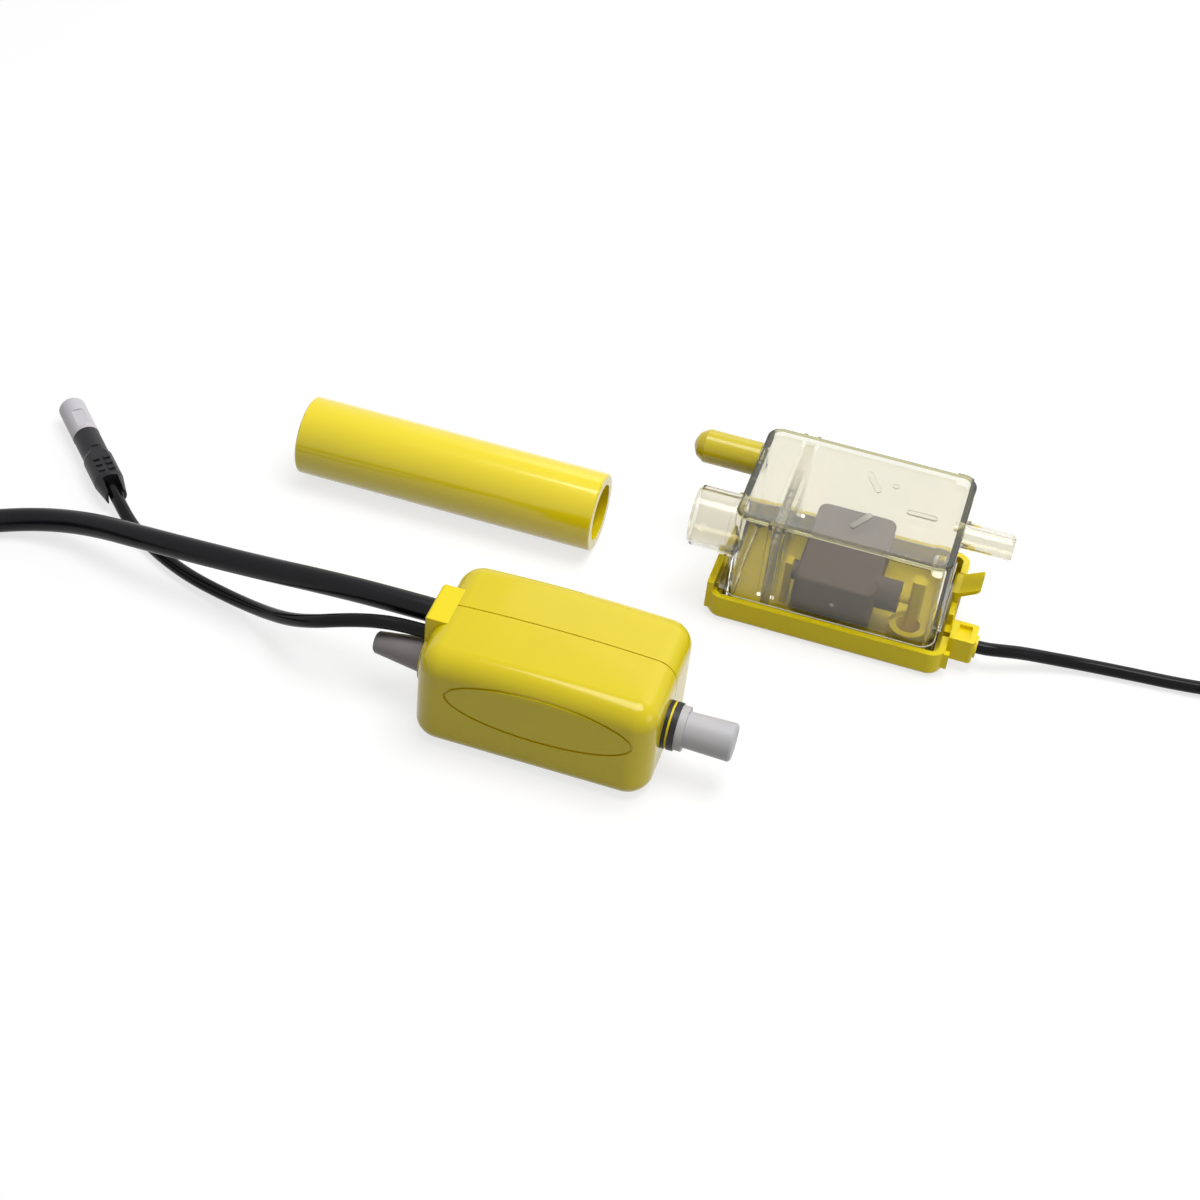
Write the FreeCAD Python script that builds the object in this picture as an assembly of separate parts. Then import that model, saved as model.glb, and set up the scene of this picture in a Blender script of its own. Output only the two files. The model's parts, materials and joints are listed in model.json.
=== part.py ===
import FreeCAD, Part
import math
import os

Vector = FreeCAD.Vector

# Frame: the origin is the centre of the pump's underside, +X runs from the pump's inlet
# to its outlet, +Y away from the viewer and +Z up. All sizes are in millimetres.

# Where the three loose items of the set stand
RESERVOIR_X = 57.2
RESERVOIR_Y = 72.1
HOSE_X = -50.4
HOSE_Y = 67.3

# Clearances
SLIDE_GAP = 0.3
SNUG_GAP = 0.05
RUNNING_GAP = 0.08

# Pump case
CASE_LENGTH = 60.0
CASE_DEPTH = 39.5
CASE_HEIGHT = 28.5
CASE_CROWN = 1.1
CASE_WALL = 2.0
CASE_PLAN_RADIUS = 6.5
CASE_TOP_RADIUS = 6.0
CASE_BOTTOM_RADIUS = 4.5
SEAM_Y = 1.2
SEAM_TONGUE = 1.4
SEAM_BEVEL = 0.35
RIB_THICKNESS = 1.4
REAR_RIB_X = 20.0
OVAL_X = 1.8
OVAL_Z = 17.7
OVAL_HALF_LENGTH = 23.6
OVAL_HALF_HEIGHT = 7.2
OVAL_WIDTH = 0.7
OVAL_DEPTH = 0.5

# Pipe run through the pump
PIPE_Y = -5.0
PIPE_Z = 14.0
TUBE_RADIUS = 3.2
TUBE_WALL = 0.5
TUBE_HALF_LENGTH = 20.0
FITTING_BODY_RADIUS = 4.9
FITTING_SOCKET_DEPTH = 4.0
FITTING_NECK_RADIUS = 3.4
FITTING_BORE = 1.5
OUTLET_BARB_RADIUS = 3.0
INLET_BARB_RADIUS = 2.2
BARB_RISE = 0.3
BARB_PITCH = 2.5
BARB_COUNT = 3
BARB_FLAT = 0.4
BARB_FALL = 0.1
OUTLET_BARB_LENGTH = 14.0
INLET_BARB_LENGTH = 8.0
RING_SECTION = 0.55
RING_GROOVE_START = 1.0

# Pieces on the pipe ends
GROMMET_RADIUS = 6.0
GROMMET_LENGTH = 3.0
GROMMET_GROOVE = 0.8
CLIP_RING_WIDTH = 0.6
CLIP_RING_SUNK = 0.2
CLIP_RING_SHIFT = 0.3
INLET_LIP_RADIUS = 6.0
INLET_LIP_LENGTH = 1.5
OUTLET_CAP_FLANGE_RADIUS = 5.6
OUTLET_CAP_FLANGE_LENGTH = 1.9
OUTLET_CAP_RADIUS = 4.5
OUTLET_CAP_TIP_RADIUS = 4.8
OUTLET_CAP_LENGTH = 13.9
INLET_CAP_ROOT_RADIUS = 4.5
INLET_CAP_TIP_RADIUS = 2.8
INLET_CAP_LENGTH = 12.9
CAP_END_WALL = 1.0
CAP_TIP_BEVEL = 0.5

# Solenoid and piston
COIL_HALF_LENGTH = 8.0
BOBBIN_FLANGE = 1.0
BOBBIN_WALL = 0.7
BOBBIN_RIM = 0.3
COIL_RADIUS = 5.8
YOKE_PLATE = 1.2
YOKE_HALF_WIDTH = 6.0
MOUNT_RING_RADIUS = 6.0
MOUNT_RING_WIDTH = 3.0
MOUNT_RING_GROOVE = 0.8
MOUNT_X = 14.0
PISTON_HALF_LENGTH = 7.0
PISTON_BORE = 1.2
PISTON_WAIST = 0.35
PISTON_LAND = 3.0
PISTON_SLOPE = 0.4
SPRING_LENGTH = 5.2
SPRING_TURNS = 4
SPRING_WIRE = 0.25
SPRING_POINTS = 8
SPRING_SIDE_GAP = 0.1
SPRING_END_GAP = 0.1
SEAT_THICKNESS = 1.2
VALVE_RADIUS = 1.7
VALVE_THICKNESS = 0.8
VALVE_STEM_RADIUS = 0.5
VALVE_STEM_LENGTH = 3.0

# Electronics in the pump
BOARD_LENGTH = 46.0
BOARD_HEIGHT = 20.0
BOARD_THICKNESS = 1.2
BOARD_Y = 6.5
BOARD_HOLE_INSET = 3.0
BOARD_HOLE_RADIUS = 1.2
COMPONENT_CORNER = 0.6
CAPACITOR_SIZE = (13.0, 6.4, 6.0)
SWITCH_SIZE = (6.6, 4.4, 9.8)
CAPACITOR_PLACE = (8.0, 9.0)
SWITCH_PLACE = (-8.0, 5.0)
CUTOUT_SIZE = (7.5, 4.2, 1.8)

# Cable block and the two cables that leave it
BLOCK_PROUD = 2.0
BLOCK_Y = 0.5
BLOCK_HALF_WIDTH = 6.5
BLOCK_BOTTOM_Z = 16.0
BLOCK_TOP_Z = 27.5
BLOCK_CORNER = 1.0
BLOCK_STEP = 1.0
MAINS_RADIUS = 3.1
MAINS_EXIT_Y = 2.6
MAINS_EXIT_Z = 22.0
LEAD_RADIUS = 1.75
LEAD_EXIT_Y = -3.5
LEAD_EXIT_Z = 20.5

# Coils of the cables' hidden lengths
COIL_DIAMETERS = 11.0
MAINS_COIL_X = -182.0
MAINS_COIL_Y = -37.0
MAINS_COIL_LAYERS = 2
RESERVOIR_COIL_X = 186.0
RESERVOIR_COIL_Y = 52.1
RESERVOIR_COIL_LAYERS = 3
COIL_TURNS_WIDE = 3
TAIL_RISE = 0.85
MAINS_TAIL_LENGTH = 26.0
RESERVOIR_TAIL_LENGTH = 14.0
CORE_RADIUS = 0.95
CORE_SPACING = 2.0
CORE_LENGTH = 20.0
FERRULE_RADIUS = 0.75
FERRULE_LENGTH = 7.0

# Plug on the pump's thin lead, and its mating half on the reservoir's lead
PLUG_X = -131.6
PLUG_Y = 30.2
PLUG_ANGLE = 133.4
PLUG_RADIUS = 4.0
PLUG_BODY_LENGTH = 26.5
PLUG_SHELL_RADIUS = 3.7
PLUG_SHELL_WALL = 0.8
PLUG_SHELL_LENGTH = 14.3
PLUG_JAW_LENGTH = 5.0
PLUG_JAW_DROP = 1.1
PLUG_JAW_TAPER = 1.5
PLUG_GRIP_LENGTH = 15.9
PLUG_STEP_LENGTH = 1.3
PLUG_NECK_GAP = 0.1
PLUG_FLAT_X = (6.0, 18.5)
PLUG_FLAT_HALF = 3.3
PLUG_RIB_COUNT = 3
PLUG_RIB_START = 7.5
PLUG_RIB_PITCH = 2.4
PLUG_RIB_WIDTH = 1.1
PLUG_RIB_Y = (0.5, 2.3)
PLUG_RIB_Z = (3.2, 3.75)
PLUG_SHELL_BEVEL = (0.8, 0.5)
PLUG_WINDOW_X = (1.6, 8.4)
PLUG_WINDOW_HALF = 1.7
PLUG_WINDOW_FLOOR = 0.35
PIN_RADIUS = 0.5
PIN_LENGTH = 10.7
PIN_CIRCLE = 1.5

# Reservoir: sizes that its lid and its tank share
TANK_FOOT_HALF = (28.0, 19.6)
TANK_DRAFT = (0.2, 0.5)
TANK_ROOF_HALF = (TANK_FOOT_HALF[0] + TANK_DRAFT[0], TANK_FOOT_HALF[1] + TANK_DRAFT[1])
TANK_WALL = 1.8
TANK_SIDE_GAP = 0.2
TANK_END_GAP = 1.7

# Reservoir lid
LID_SIDE_WALL = 1.7
LID_END_WALL = 1.8
LID_HALF_LENGTH = TANK_FOOT_HALF[0] + TANK_END_GAP + LID_END_WALL
LID_HALF_DEPTH = TANK_FOOT_HALF[1] + TANK_SIDE_GAP + LID_SIDE_WALL
LID_HEIGHT = 7.5
LID_FLOOR = 2.0
LID_PLAN_RADIUS = 4.0
LID_BOTTOM_RADIUS = 2.0
HOOK_FRAME_X = (-LID_HALF_LENGTH - 0.6, -LID_HALF_LENGTH + 1.2)
HOOK_FRAME_Y = (1.5 - LID_HALF_DEPTH, 13.5 - LID_HALF_DEPTH)
HOOK_FRAME_TOP = 10.5
HOOK_FRAME_SIDE = 1.5
HOOK_FRAME_ROUND = 0.5
HOOK_WINDOW_Z = (6.4, 9.6)
EAR_THICKNESS = 1.4
NEAR_EAR_Y = -8.0
NEAR_EAR_TOP = 11.0
FAR_EAR_Y = 12.0
FAR_EAR_TOP = 14.0
FAR_EAR_ROUND = 3.0
CORNER_LUG_PROUD = 1.2
CORNER_LUG_ROOT = 1.0
CORNER_LUG_Y = (2.3 - LID_HALF_DEPTH, 3.9 - LID_HALF_DEPTH)
CORNER_LUG_Z = (2.2, 7.0)
LATCH_Y = (-2.7, 5.3)
LATCH_THICKNESS = 1.3
LATCH_TOP = 14.0
LATCH_TAB_REACH = 4.9
LATCH_TAB_RISE = 3.0
LATCH_TAB_THICKNESS = 1.1
LATCH_TAB_HEEL = 0.4
LATCH_TAB_ROUND = 1.0
LATCH_NOSE = 0.6
LATCH_NOSE_LIP = 0.5
LATCH_NOSE_HEIGHT = 1.6
LATCH_INSET = 0.3
GLAND_LENGTH = 6.8
GLAND_Y = (5.8 - LID_HALF_DEPTH, 13.2 - LID_HALF_DEPTH)
GLAND_Z = (3.0, 10.0)
GLAND_CABLE_Z = 6.0
GLAND_SOCKET = 2.5
GLAND_ROUND = 1.0
GLAND_NOSE = 0.6
GLAND_NOSE_WALL = 1.2
GLAND_NOSE_ROOT = 1.0
SADDLE_X_INSET = (1.8, 1.6)
SADDLE_Y_INSET = 1.2
SADDLE_DEPTH = 1.2
GASKET_LIP = 0.5
CUP_RADIUS = 5.0
CUP_WALL = 1.8
CUP_HEIGHT = 6.0
CUP_END_CLEARANCE = 0.8
CUP_SIDE_CLEARANCE = 0.6
CUP_X = TANK_FOOT_HALF[0] - TANK_WALL - CUP_END_CLEARANCE - CUP_RADIUS
CUP_Y = CUP_RADIUS + CUP_SIDE_CLEARANCE + TANK_WALL - TANK_FOOT_HALF[1]
SENSOR_BOARD_SIZE = (13.0, 8.0, 0.6)
SENSOR_BOARD_SHIFT = (-1.5, 1.0)
SENSOR_POCKET_DEPTH = 1.3

# Tank, with its open mouth down in the lid
TANK_TOP = 34.5
TANK_BOTTOM = 3.3
TANK_PLAN_RADIUS = 4.0
TANK_ROOF_ROUND = 0.8
INLET_SPIGOT = dict(y=-11.2, z=24.2, radius=8.0, wall=1.4, length=11.5, collar=0.5)
OVERFLOW_SPIGOT = dict(y=12.0, z=28.5, radius=3.8, wall=1.2, length=14.6, collar=0)
OUTLET_SPIGOT = dict(y=1.5, z=29.4, radius=3.8, wall=1.2, length=13.1, collar=0.5)
SPIGOT_COLLAR_LENGTH = 1.1
SPIGOT_ROOT_DEPTH = 2.8
SPIGOT_CHAMFER = 0.9
STAR_X = 7.35
STAR_Y = -1.1
STAR_INNER = 5.5
STAR_OUTER = 13.5
STAR_BAR = 1.7
STAR_RISE = 0.3
STAR_ROOT = 0.3
GATE_PLACE = (8.2, 7.7)
GATE_RADIUS = 0.9
FILTER_FROM_END = 11.25
FILTER_X = FILTER_FROM_END - TANK_FOOT_HALF[0]
FILTER_THICKNESS = 2.3
FILTER_SLOT_COUNT = 9
FILTER_SLOT_SHARE = 0.6
FILTER_SIDE_BAR = 3.0
FILTER_LOW_BAR = 6.0
FILTER_HIGH_BAR = 8.0
CHANNEL_RIB = 1.0
CHANNEL_DEPTH = 1.6
CHANNEL_ROOF_DEPTH = 0.8
CHANNEL_BOTTOM_Z = 9.0
SUCTION_X = TANK_ROOF_HALF[0] - 3.5
SUCTION_HALF_WIDTH = 2.2
SUCTION_DEPTH = 1.8
SUCTION_KNOB_Y = -13.0
SUCTION_KNOB_LENGTH = 4.9
SUCTION_KNOB_RADIUS = 1.9
TANK_HOOK_TIP = -LID_HALF_LENGTH - 0.1
TANK_HOOK_Z = (7.2, 8.8)
TANK_HOOK_Y = (HOOK_FRAME_Y[0] + 2.5, HOOK_FRAME_Y[1] - 2.5)
TANK_LEDGE_REACH = 1.0
TANK_LEDGE_Z = (9.5, 10.7)
TANK_LEDGE_Y = (-14.0, 4.5)

# Float
FLOAT_X = (FILTER_X + 5.95, TANK_FOOT_HALF[0] - 17.6)
FLOAT_Y = (4.6 - TANK_FOOT_HALF[1], TANK_FOOT_HALF[1] - 3.2)
FLOAT_Z = (4.0, 16.3)
FLOAT_CORNER = 2.5
FLOAT_TOP_ROUND = 0.8
FLOAT_HEEL = 2.0
FLOAT_TOE = 1.0
PIVOT_Y = FLOAT_Y[0] + 6.8
PIVOT_Z = 12.6
PIVOT_RADIUS = 1.2
PIVOT_ENGAGEMENT = 1.7
BOSS_RADIUS = 4.2
BOSS_LENGTH = 6.1
LEFT_BOSS_RADIUS = 2.6
LEFT_BOSS_LENGTH = 1.2
POST_GAP = 2.6
POST_WIDTH = 3.4
POST_ROUND = 0.8
POST_TOP = 20.0
LEFT_POST_TOP = 15.5
PIN_ROOT = 1.0
PAD_INSET = 2.0
PAD_WIDTH = 1.0
PAD_Y = (FLOAT_Y[1] - 5.9, FLOAT_Y[1] - 1.9)
MAGNET_RADIUS = 1.5
MAGNET_LENGTH = 5.0
DOT_X = 0.3
DOT_Z = 9.9
DOT_RADIUS = 0.55
DOT_DEPTH = 1.5

# Blanking cap on the overflow spigot
BLANK_CAP_RADIUS = 4.55
BLANK_CAP_TIP_RADIUS = 2.3
BLANK_CAP_TAPER = 3.2
BLANK_CAP_END_WALL = 3.2
BLANK_CAP_NECK = (1.1, 0.9)
BLANK_CAP_BUTTON = (0.4, 0.3)
BLANK_CAP_FACE = 1.3

# Inlet hose
HOSE_RADIUS = 10.65
HOSE_WALL = 3.0
HOSE_LENGTH = 83.3
HOSE_EDGE = 0.4


# Helpers

def box(x_range, y_range, z_range):
    corner = Vector(min(x_range), min(y_range), min(z_range))
    size = [abs(pair[1] - pair[0]) for pair in (x_range, y_range, z_range)]
    return Part.makeBox(size[0], size[1], size[2], corner)


def rod(radius, start, end):
    axis = end.sub(start)
    return Part.makeCylinder(radius, axis.Length, start, axis)


def ring(outer, inner, start, end):
    return rod(outer, start, end).cut(rod(inner, start, end))


def turned(profile, y, z):
    """Solid of revolution about a line along X; the profile is a list of (x, radius)."""
    points = [Vector(x, y + radius, z) for x, radius in profile]
    points.append(points[0])
    face = Part.Face(Part.makePolygon(points))
    return face.revolve(Vector(0, y, z), Vector(1, 0, 0), 360)


def upright_edges(solid):
    found = []
    for edge in solid.Edges:
        first, last = edge.Vertexes[0].Point, edge.Vertexes[-1].Point
        moved = last.sub(first)
        if abs(moved.z) > 0.5 and math.hypot(moved.x, moved.y) < 0.01:
            found.append(edge)
    return found


def edges_between(solid, low_z, high_z):
    found = []
    for edge in solid.Edges:
        bounds = edge.BoundBox
        if bounds.ZMin >= low_z - 0.01 and bounds.ZMax <= high_z + 0.01:
            found.append(edge)
    return found


def rounded_block(x_range, y_range, z_range, plan_radius):
    solid = box(x_range, y_range, z_range)
    return solid.makeFillet(plan_radius, upright_edges(solid))


def rounded_rectangle(half_x, half_y, radius, z):
    """Closed wire of a rectangle with round corners, centred on the Z axis."""
    edges = []
    middle = radius * math.sqrt(0.5)
    corners = [(1, 1), (-1, 1), (-1, -1), (1, -1)]
    arcs = []
    for sign_x, sign_y in corners:
        centre = Vector(sign_x * (half_x - radius), sign_y * (half_y - radius), z)
        side = centre + Vector(sign_x * radius, 0, 0)
        end = centre + Vector(0, sign_y * radius, 0)
        bulge = centre + Vector(sign_x * middle, sign_y * middle, 0)
        if sign_x * sign_y < 0:
            side, end = end, side
        arcs.append((side, bulge, end))
    for index, (side, bulge, end) in enumerate(arcs):
        edges.append(Part.Arc(side, bulge, end).toShape())
        following = arcs[(index + 1) % len(arcs)][0]
        edges.append(Part.LineSegment(end, following).toShape())
    return Part.Wire(edges)


def moved(solid, x, y, z=0.0):
    copy = solid.copy()
    copy.translate(Vector(x, y, z))
    return copy


def cable_path(points):
    """Straight runs joined by tangent arcs, each as large as its two runs allow."""
    edges = []
    radii = []
    corner_starts = [points[0]]
    corner_ends = []
    arcs = []
    for before, corner, after in zip(points, points[1:], points[2:]):
        first_run = corner.sub(before)
        second_run = after.sub(corner)
        turn = first_run.getAngle(second_run)
        setback = 0.45 * min(first_run.Length, second_run.Length)
        radius = setback / math.tan(turn / 2)
        first_unit = Vector(first_run).normalize()
        second_unit = Vector(second_run).normalize()
        start = corner - first_unit * setback
        end = corner + second_unit * setback
        inward = (second_unit - first_unit).normalize()
        to_centre = radius / math.cos(turn / 2)
        middle = corner + inward * (to_centre - radius)
        arcs.append((start, middle, end))
        radii.append(radius)
    for start, middle, end in arcs:
        corner_ends.append(start)
        corner_starts.append(end)
    corner_ends.append(points[-1])
    for index, start in enumerate(corner_starts):
        edges.append(Part.LineSegment(start, corner_ends[index]).toShape())
        if index < len(arcs):
            edges.append(Part.Arc(*arcs[index]).toShape())
    return Part.Wire(edges), radii


def cable(name, points, radius):
    """Round cable along a route; prints its length, its tightest bend and its volume."""
    path, radii = cable_path([Vector(*point) for point in points])
    direction = Vector(*points[1]) - Vector(*points[0])
    section = Part.Wire(Part.makeCircle(radius, Vector(*points[0]), direction))
    solid = path.makePipeShell([section], True, False)
    expected = math.pi * radius ** 2 * path.Length
    print(name, "length", round(path.Length, 1), "radii", [round(value, 1) for value in radii],
          "volume ratio", round(solid.Volume / expected, 4))
    return solid


def coil_solid(centre, cable_radius, layers, tail_length, tail_turn, clockwise=False):
    """Outer shape of a wound coil; the cable's last stretch lies on top, the way the coil winds."""
    mean_radius = COIL_DIAMETERS * cable_radius
    half_width = COIL_TURNS_WIDE * cable_radius
    height = layers * 2 * cable_radius
    base = Vector(centre[0], centre[1], 0)
    turns = ring(mean_radius + half_width, mean_radius - half_width, base, base + Vector(0, 0, height))
    along = Vector(math.cos(math.radians(tail_turn)), math.sin(math.radians(tail_turn)), 0)
    across = Vector(-along.y, along.x, 0) if clockwise else Vector(along.y, -along.x, 0)
    tail_start = base + across * mean_radius + Vector(0, 0, height + TAIL_RISE * cable_radius)
    tail_start = tail_start - along * (tail_length / 2)
    tail_end = tail_start + along * tail_length
    return turns.fuse(rod(cable_radius, tail_start, tail_end)).removeSplitter(), tail_end, along


# Pump case

def case_block(inset):
    """Crowned block with round edges, drawn in by the same amount all round."""
    half_length = CASE_LENGTH / 2 - inset
    half_depth = CASE_DEPTH / 2 - inset
    low = inset
    end_height = CASE_HEIGHT - CASE_CROWN - inset
    corners = [Vector(-half_length, -half_depth, low), Vector(half_length, -half_depth, low),
               Vector(half_length, -half_depth, end_height), Vector(-half_length, -half_depth, end_height)]
    crown = Vector(0, -half_depth, CASE_HEIGHT - inset)
    outline = Part.Wire([
        Part.LineSegment(corners[0], corners[1]).toShape(),
        Part.LineSegment(corners[1], corners[2]).toShape(),
        Part.Arc(corners[2], crown, corners[3]).toShape(),
        Part.LineSegment(corners[3], corners[0]).toShape()])
    solid = Part.Face(outline).extrude(Vector(0, 2 * half_depth, 0))
    solid = solid.makeFillet(CASE_PLAN_RADIUS - inset, upright_edges(solid))
    solid = solid.makeFillet(CASE_TOP_RADIUS - inset, edges_between(solid, end_height, CASE_HEIGHT))
    return solid.makeFillet(CASE_BOTTOM_RADIUS - inset, edges_between(solid, low, low))


def case_half(front):
    """Half of the case on one side of the seam, with its ribs."""
    reach = 2 * CASE_LENGTH
    y_range = (-reach, SEAM_Y) if front else (SEAM_Y, reach)
    half = box((-reach, reach), y_range, (-reach, reach))
    inner = case_block(CASE_WALL)
    solid = case_block(0).cut(inner).fuse(case_ribs(front).common(inner)).common(half)
    tongue_range = (SEAM_Y, SEAM_Y + SEAM_TONGUE)
    if front:
        tongue = case_block(CASE_WALL / 2).cut(inner)
        tongue = tongue.common(box((-reach, reach), tongue_range, (-reach, reach)))
        bevel = case_block(0).cut(case_block(SEAM_BEVEL))
        bevel = bevel.common(box((-reach, reach), (SEAM_Y - SEAM_BEVEL, SEAM_Y), (CASE_HEIGHT / 2, reach)))
        solid = solid.fuse(tongue).cut(bevel).cut(pipe_slots(0))
        solid = solid.cut(oval_groove()).fuse(inlet_lip())
    else:
        groove = case_block(CASE_WALL / 2 - SNUG_GAP).cut(inner)
        groove_range = (SEAM_Y, SEAM_Y + SEAM_TONGUE + SNUG_GAP)
        groove = groove.common(box((-reach, reach), groove_range, (-reach, reach)))
        solid = solid.cut(groove).fuse(pipe_slots(SNUG_GAP))
    neck = FITTING_NECK_RADIUS + SNUG_GAP
    neck_hole = rod(neck, Vector(-CASE_LENGTH, PIPE_Y, PIPE_Z), Vector(CASE_LENGTH, PIPE_Y, PIPE_Z))
    inside = box((-CASE_LENGTH / 2, CASE_LENGTH / 2), (-reach, reach), (-reach, reach))
    return solid.cut(neck_hole.common(inside)).cut(block_plug(SNUG_GAP)).removeSplitter()


def case_ribs(front):
    """Upright plates across the case: the front ones carry the pump's rubber rings."""
    plates = []
    for sign in (-1, 1):
        rib_x = (sign * MOUNT_X - RIB_THICKNESS / 2, sign * MOUNT_X + RIB_THICKNESS / 2)
        if front:
            plate = box(rib_x, (-CASE_DEPTH, SEAM_Y), (0, CASE_HEIGHT))
            saddle = MOUNT_RING_RADIUS - MOUNT_RING_GROOVE + SNUG_GAP
            centre = Vector(rib_x[0], PIPE_Y, PIPE_Z)
            plate = plate.cut(rod(saddle, centre, centre + Vector(RIB_THICKNESS, 0, 0)))
            plates.append(plate.cut(box(rib_x, (PIPE_Y, SEAM_Y), (PIPE_Z - saddle, PIPE_Z + saddle))))
        else:
            plates.append(box(rib_x, (SEAM_Y, BOARD_Y), (0, CASE_HEIGHT)))
            back_x = (sign * REAR_RIB_X - RIB_THICKNESS / 2, sign * REAR_RIB_X + RIB_THICKNESS / 2)
            plates.append(box(back_x, (BOARD_Y + BOARD_THICKNESS, CASE_DEPTH), (0, CASE_HEIGHT)))
    return Part.makeCompound(plates)


def pipe_slots(gap):
    """Openings from the seam to the pipe ends; the rear half's tabs fill them with the gap all round."""
    half_width = FITTING_NECK_RADIUS + SNUG_GAP - gap
    slots = []
    for sign in (-1, 1):
        wall = (sign * (CASE_LENGTH / 2 - CASE_WALL), sign * CASE_LENGTH / 2)
        slots.append(box(wall, (PIPE_Y, SEAM_Y + SEAM_TONGUE + SNUG_GAP),
                         (PIPE_Z - half_width, PIPE_Z + half_width)))
    return Part.makeCompound(slots)


def oval_groove():
    """Shallow moulded oval line on the front face."""
    face_y = -CASE_DEPTH / 2
    centre = Vector(OVAL_X, face_y, OVAL_Z)
    ovals = []
    for growth in (0, OVAL_WIDTH):
        major = centre + Vector(OVAL_HALF_LENGTH - growth, 0, 0)
        minor = centre + Vector(0, 0, OVAL_HALF_HEIGHT - growth)
        face = Part.Face(Part.Wire(Part.Ellipse(major, minor, centre).toShape()))
        ovals.append(face.extrude(Vector(0, OVAL_DEPTH, 0)))
    return ovals[0].cut(ovals[1])


def inlet_lip():
    """Raised ring on the case round the inlet, notched under the cable block."""
    end_x = -CASE_LENGTH / 2
    start = Vector(end_x + CASE_WALL / 2, PIPE_Y, PIPE_Z)
    end = Vector(end_x - INLET_LIP_LENGTH, PIPE_Y, PIPE_Z)
    lip = ring(INLET_LIP_RADIUS, INLET_CAP_ROOT_RADIUS + SLIDE_GAP, start, end)
    block_y = (BLOCK_Y - BLOCK_HALF_WIDTH - SNUG_GAP, BLOCK_Y + BLOCK_HALF_WIDTH + SNUG_GAP)
    return lip.cut(box((end_x - INLET_LIP_LENGTH, end_x), block_y, (BLOCK_BOTTOM_Z - SNUG_GAP, CASE_HEIGHT)))


# Cable block

def block_plug(growth):
    """Part of the cable block that sits in the case wall."""
    end_x = -CASE_LENGTH / 2
    half_width = BLOCK_HALF_WIDTH - BLOCK_STEP + growth
    return box((end_x - BLOCK_STEP, end_x + CASE_WALL + BLOCK_STEP),
               (BLOCK_Y - half_width, BLOCK_Y + half_width),
               (BLOCK_BOTTOM_Z + BLOCK_STEP - growth, CASE_HEIGHT - CASE_CROWN - CASE_TOP_RADIUS + growth))


def make_cable_block():
    """Block round the two cables, fitted to the case's rounded end."""
    end_x = -CASE_LENGTH / 2
    outer = box((end_x - BLOCK_PROUD, end_x + CASE_TOP_RADIUS),
                (BLOCK_Y - BLOCK_HALF_WIDTH, BLOCK_Y + BLOCK_HALF_WIDTH), (BLOCK_BOTTOM_Z, BLOCK_TOP_Z))
    outer = outer.makeFillet(BLOCK_CORNER, [edge for edge in outer.Edges if edge.BoundBox.XMax < end_x])
    outer = outer.cut(case_block(-SNUG_GAP))
    inside = box((end_x - BLOCK_STEP, end_x + CASE_WALL), (-CASE_DEPTH, CASE_DEPTH), (0, CASE_HEIGHT))
    cap_room = rod(INLET_CAP_ROOT_RADIUS + SLIDE_GAP, Vector(end_x - BLOCK_PROUD, PIPE_Y, PIPE_Z),
                   Vector(end_x, PIPE_Y, PIPE_Z))
    neck_room = rod(FITTING_NECK_RADIUS + SNUG_GAP, Vector(end_x - BLOCK_STEP, PIPE_Y, PIPE_Z),
                    Vector(end_x + CASE_WALL + BLOCK_STEP, PIPE_Y, PIPE_Z))
    return outer.fuse(block_plug(0).common(inside)).cut(cap_room).cut(neck_room).removeSplitter()


# Pipe run

def fitting(side, barb_radius, barb_length):
    """Hose fitting at one end of the pipe run; side is -1 at the inlet and 1 at the outlet."""
    body_start = TUBE_HALF_LENGTH - FITTING_SOCKET_DEPTH
    wall_x = CASE_LENGTH / 2
    body_end = wall_x - CASE_WALL - SNUG_GAP
    socket = TUBE_RADIUS + SNUG_GAP
    ring_room = TUBE_RADIUS + 2 * RING_SECTION
    profile = [(body_start, socket), (body_start, FITTING_BODY_RADIUS), (body_end, FITTING_BODY_RADIUS),
               (body_end, FITTING_NECK_RADIUS), (wall_x, FITTING_NECK_RADIUS), (wall_x, barb_radius)]
    for index in range(BARB_COUNT):
        root = wall_x + barb_length - (BARB_COUNT - index) * BARB_PITCH
        profile.append((root, barb_radius))
        profile.append((root, barb_radius + BARB_RISE))
        profile.append((root + BARB_PITCH - BARB_FLAT, barb_radius - BARB_FALL))
    profile.append((wall_x + barb_length, barb_radius - BARB_FALL))
    profile.append((wall_x + barb_length, FITTING_BORE))
    profile.append((body_start + FITTING_SOCKET_DEPTH + SNUG_GAP, FITTING_BORE))
    profile.append((body_start + FITTING_SOCKET_DEPTH + SNUG_GAP, socket))
    groove_x = body_start + RING_GROOVE_START
    profile.append((groove_x + 2 * RING_SECTION, socket))
    profile.append((groove_x + 2 * RING_SECTION, ring_room + SNUG_GAP))
    profile.append((groove_x, ring_room + SNUG_GAP))
    profile.append((groove_x, socket))
    return turned([(side * x, radius) for x, radius in profile], PIPE_Y, PIPE_Z)


def seal_ring(side):
    """Rubber ring in the groove of a fitting."""
    x = side * (TUBE_HALF_LENGTH - FITTING_SOCKET_DEPTH + RING_GROOVE_START + RING_SECTION)
    section = RING_SECTION - SNUG_GAP
    return Part.makeTorus(TUBE_RADIUS + RING_SECTION, section, Vector(x, PIPE_Y, PIPE_Z), Vector(1, 0, 0))


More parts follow.
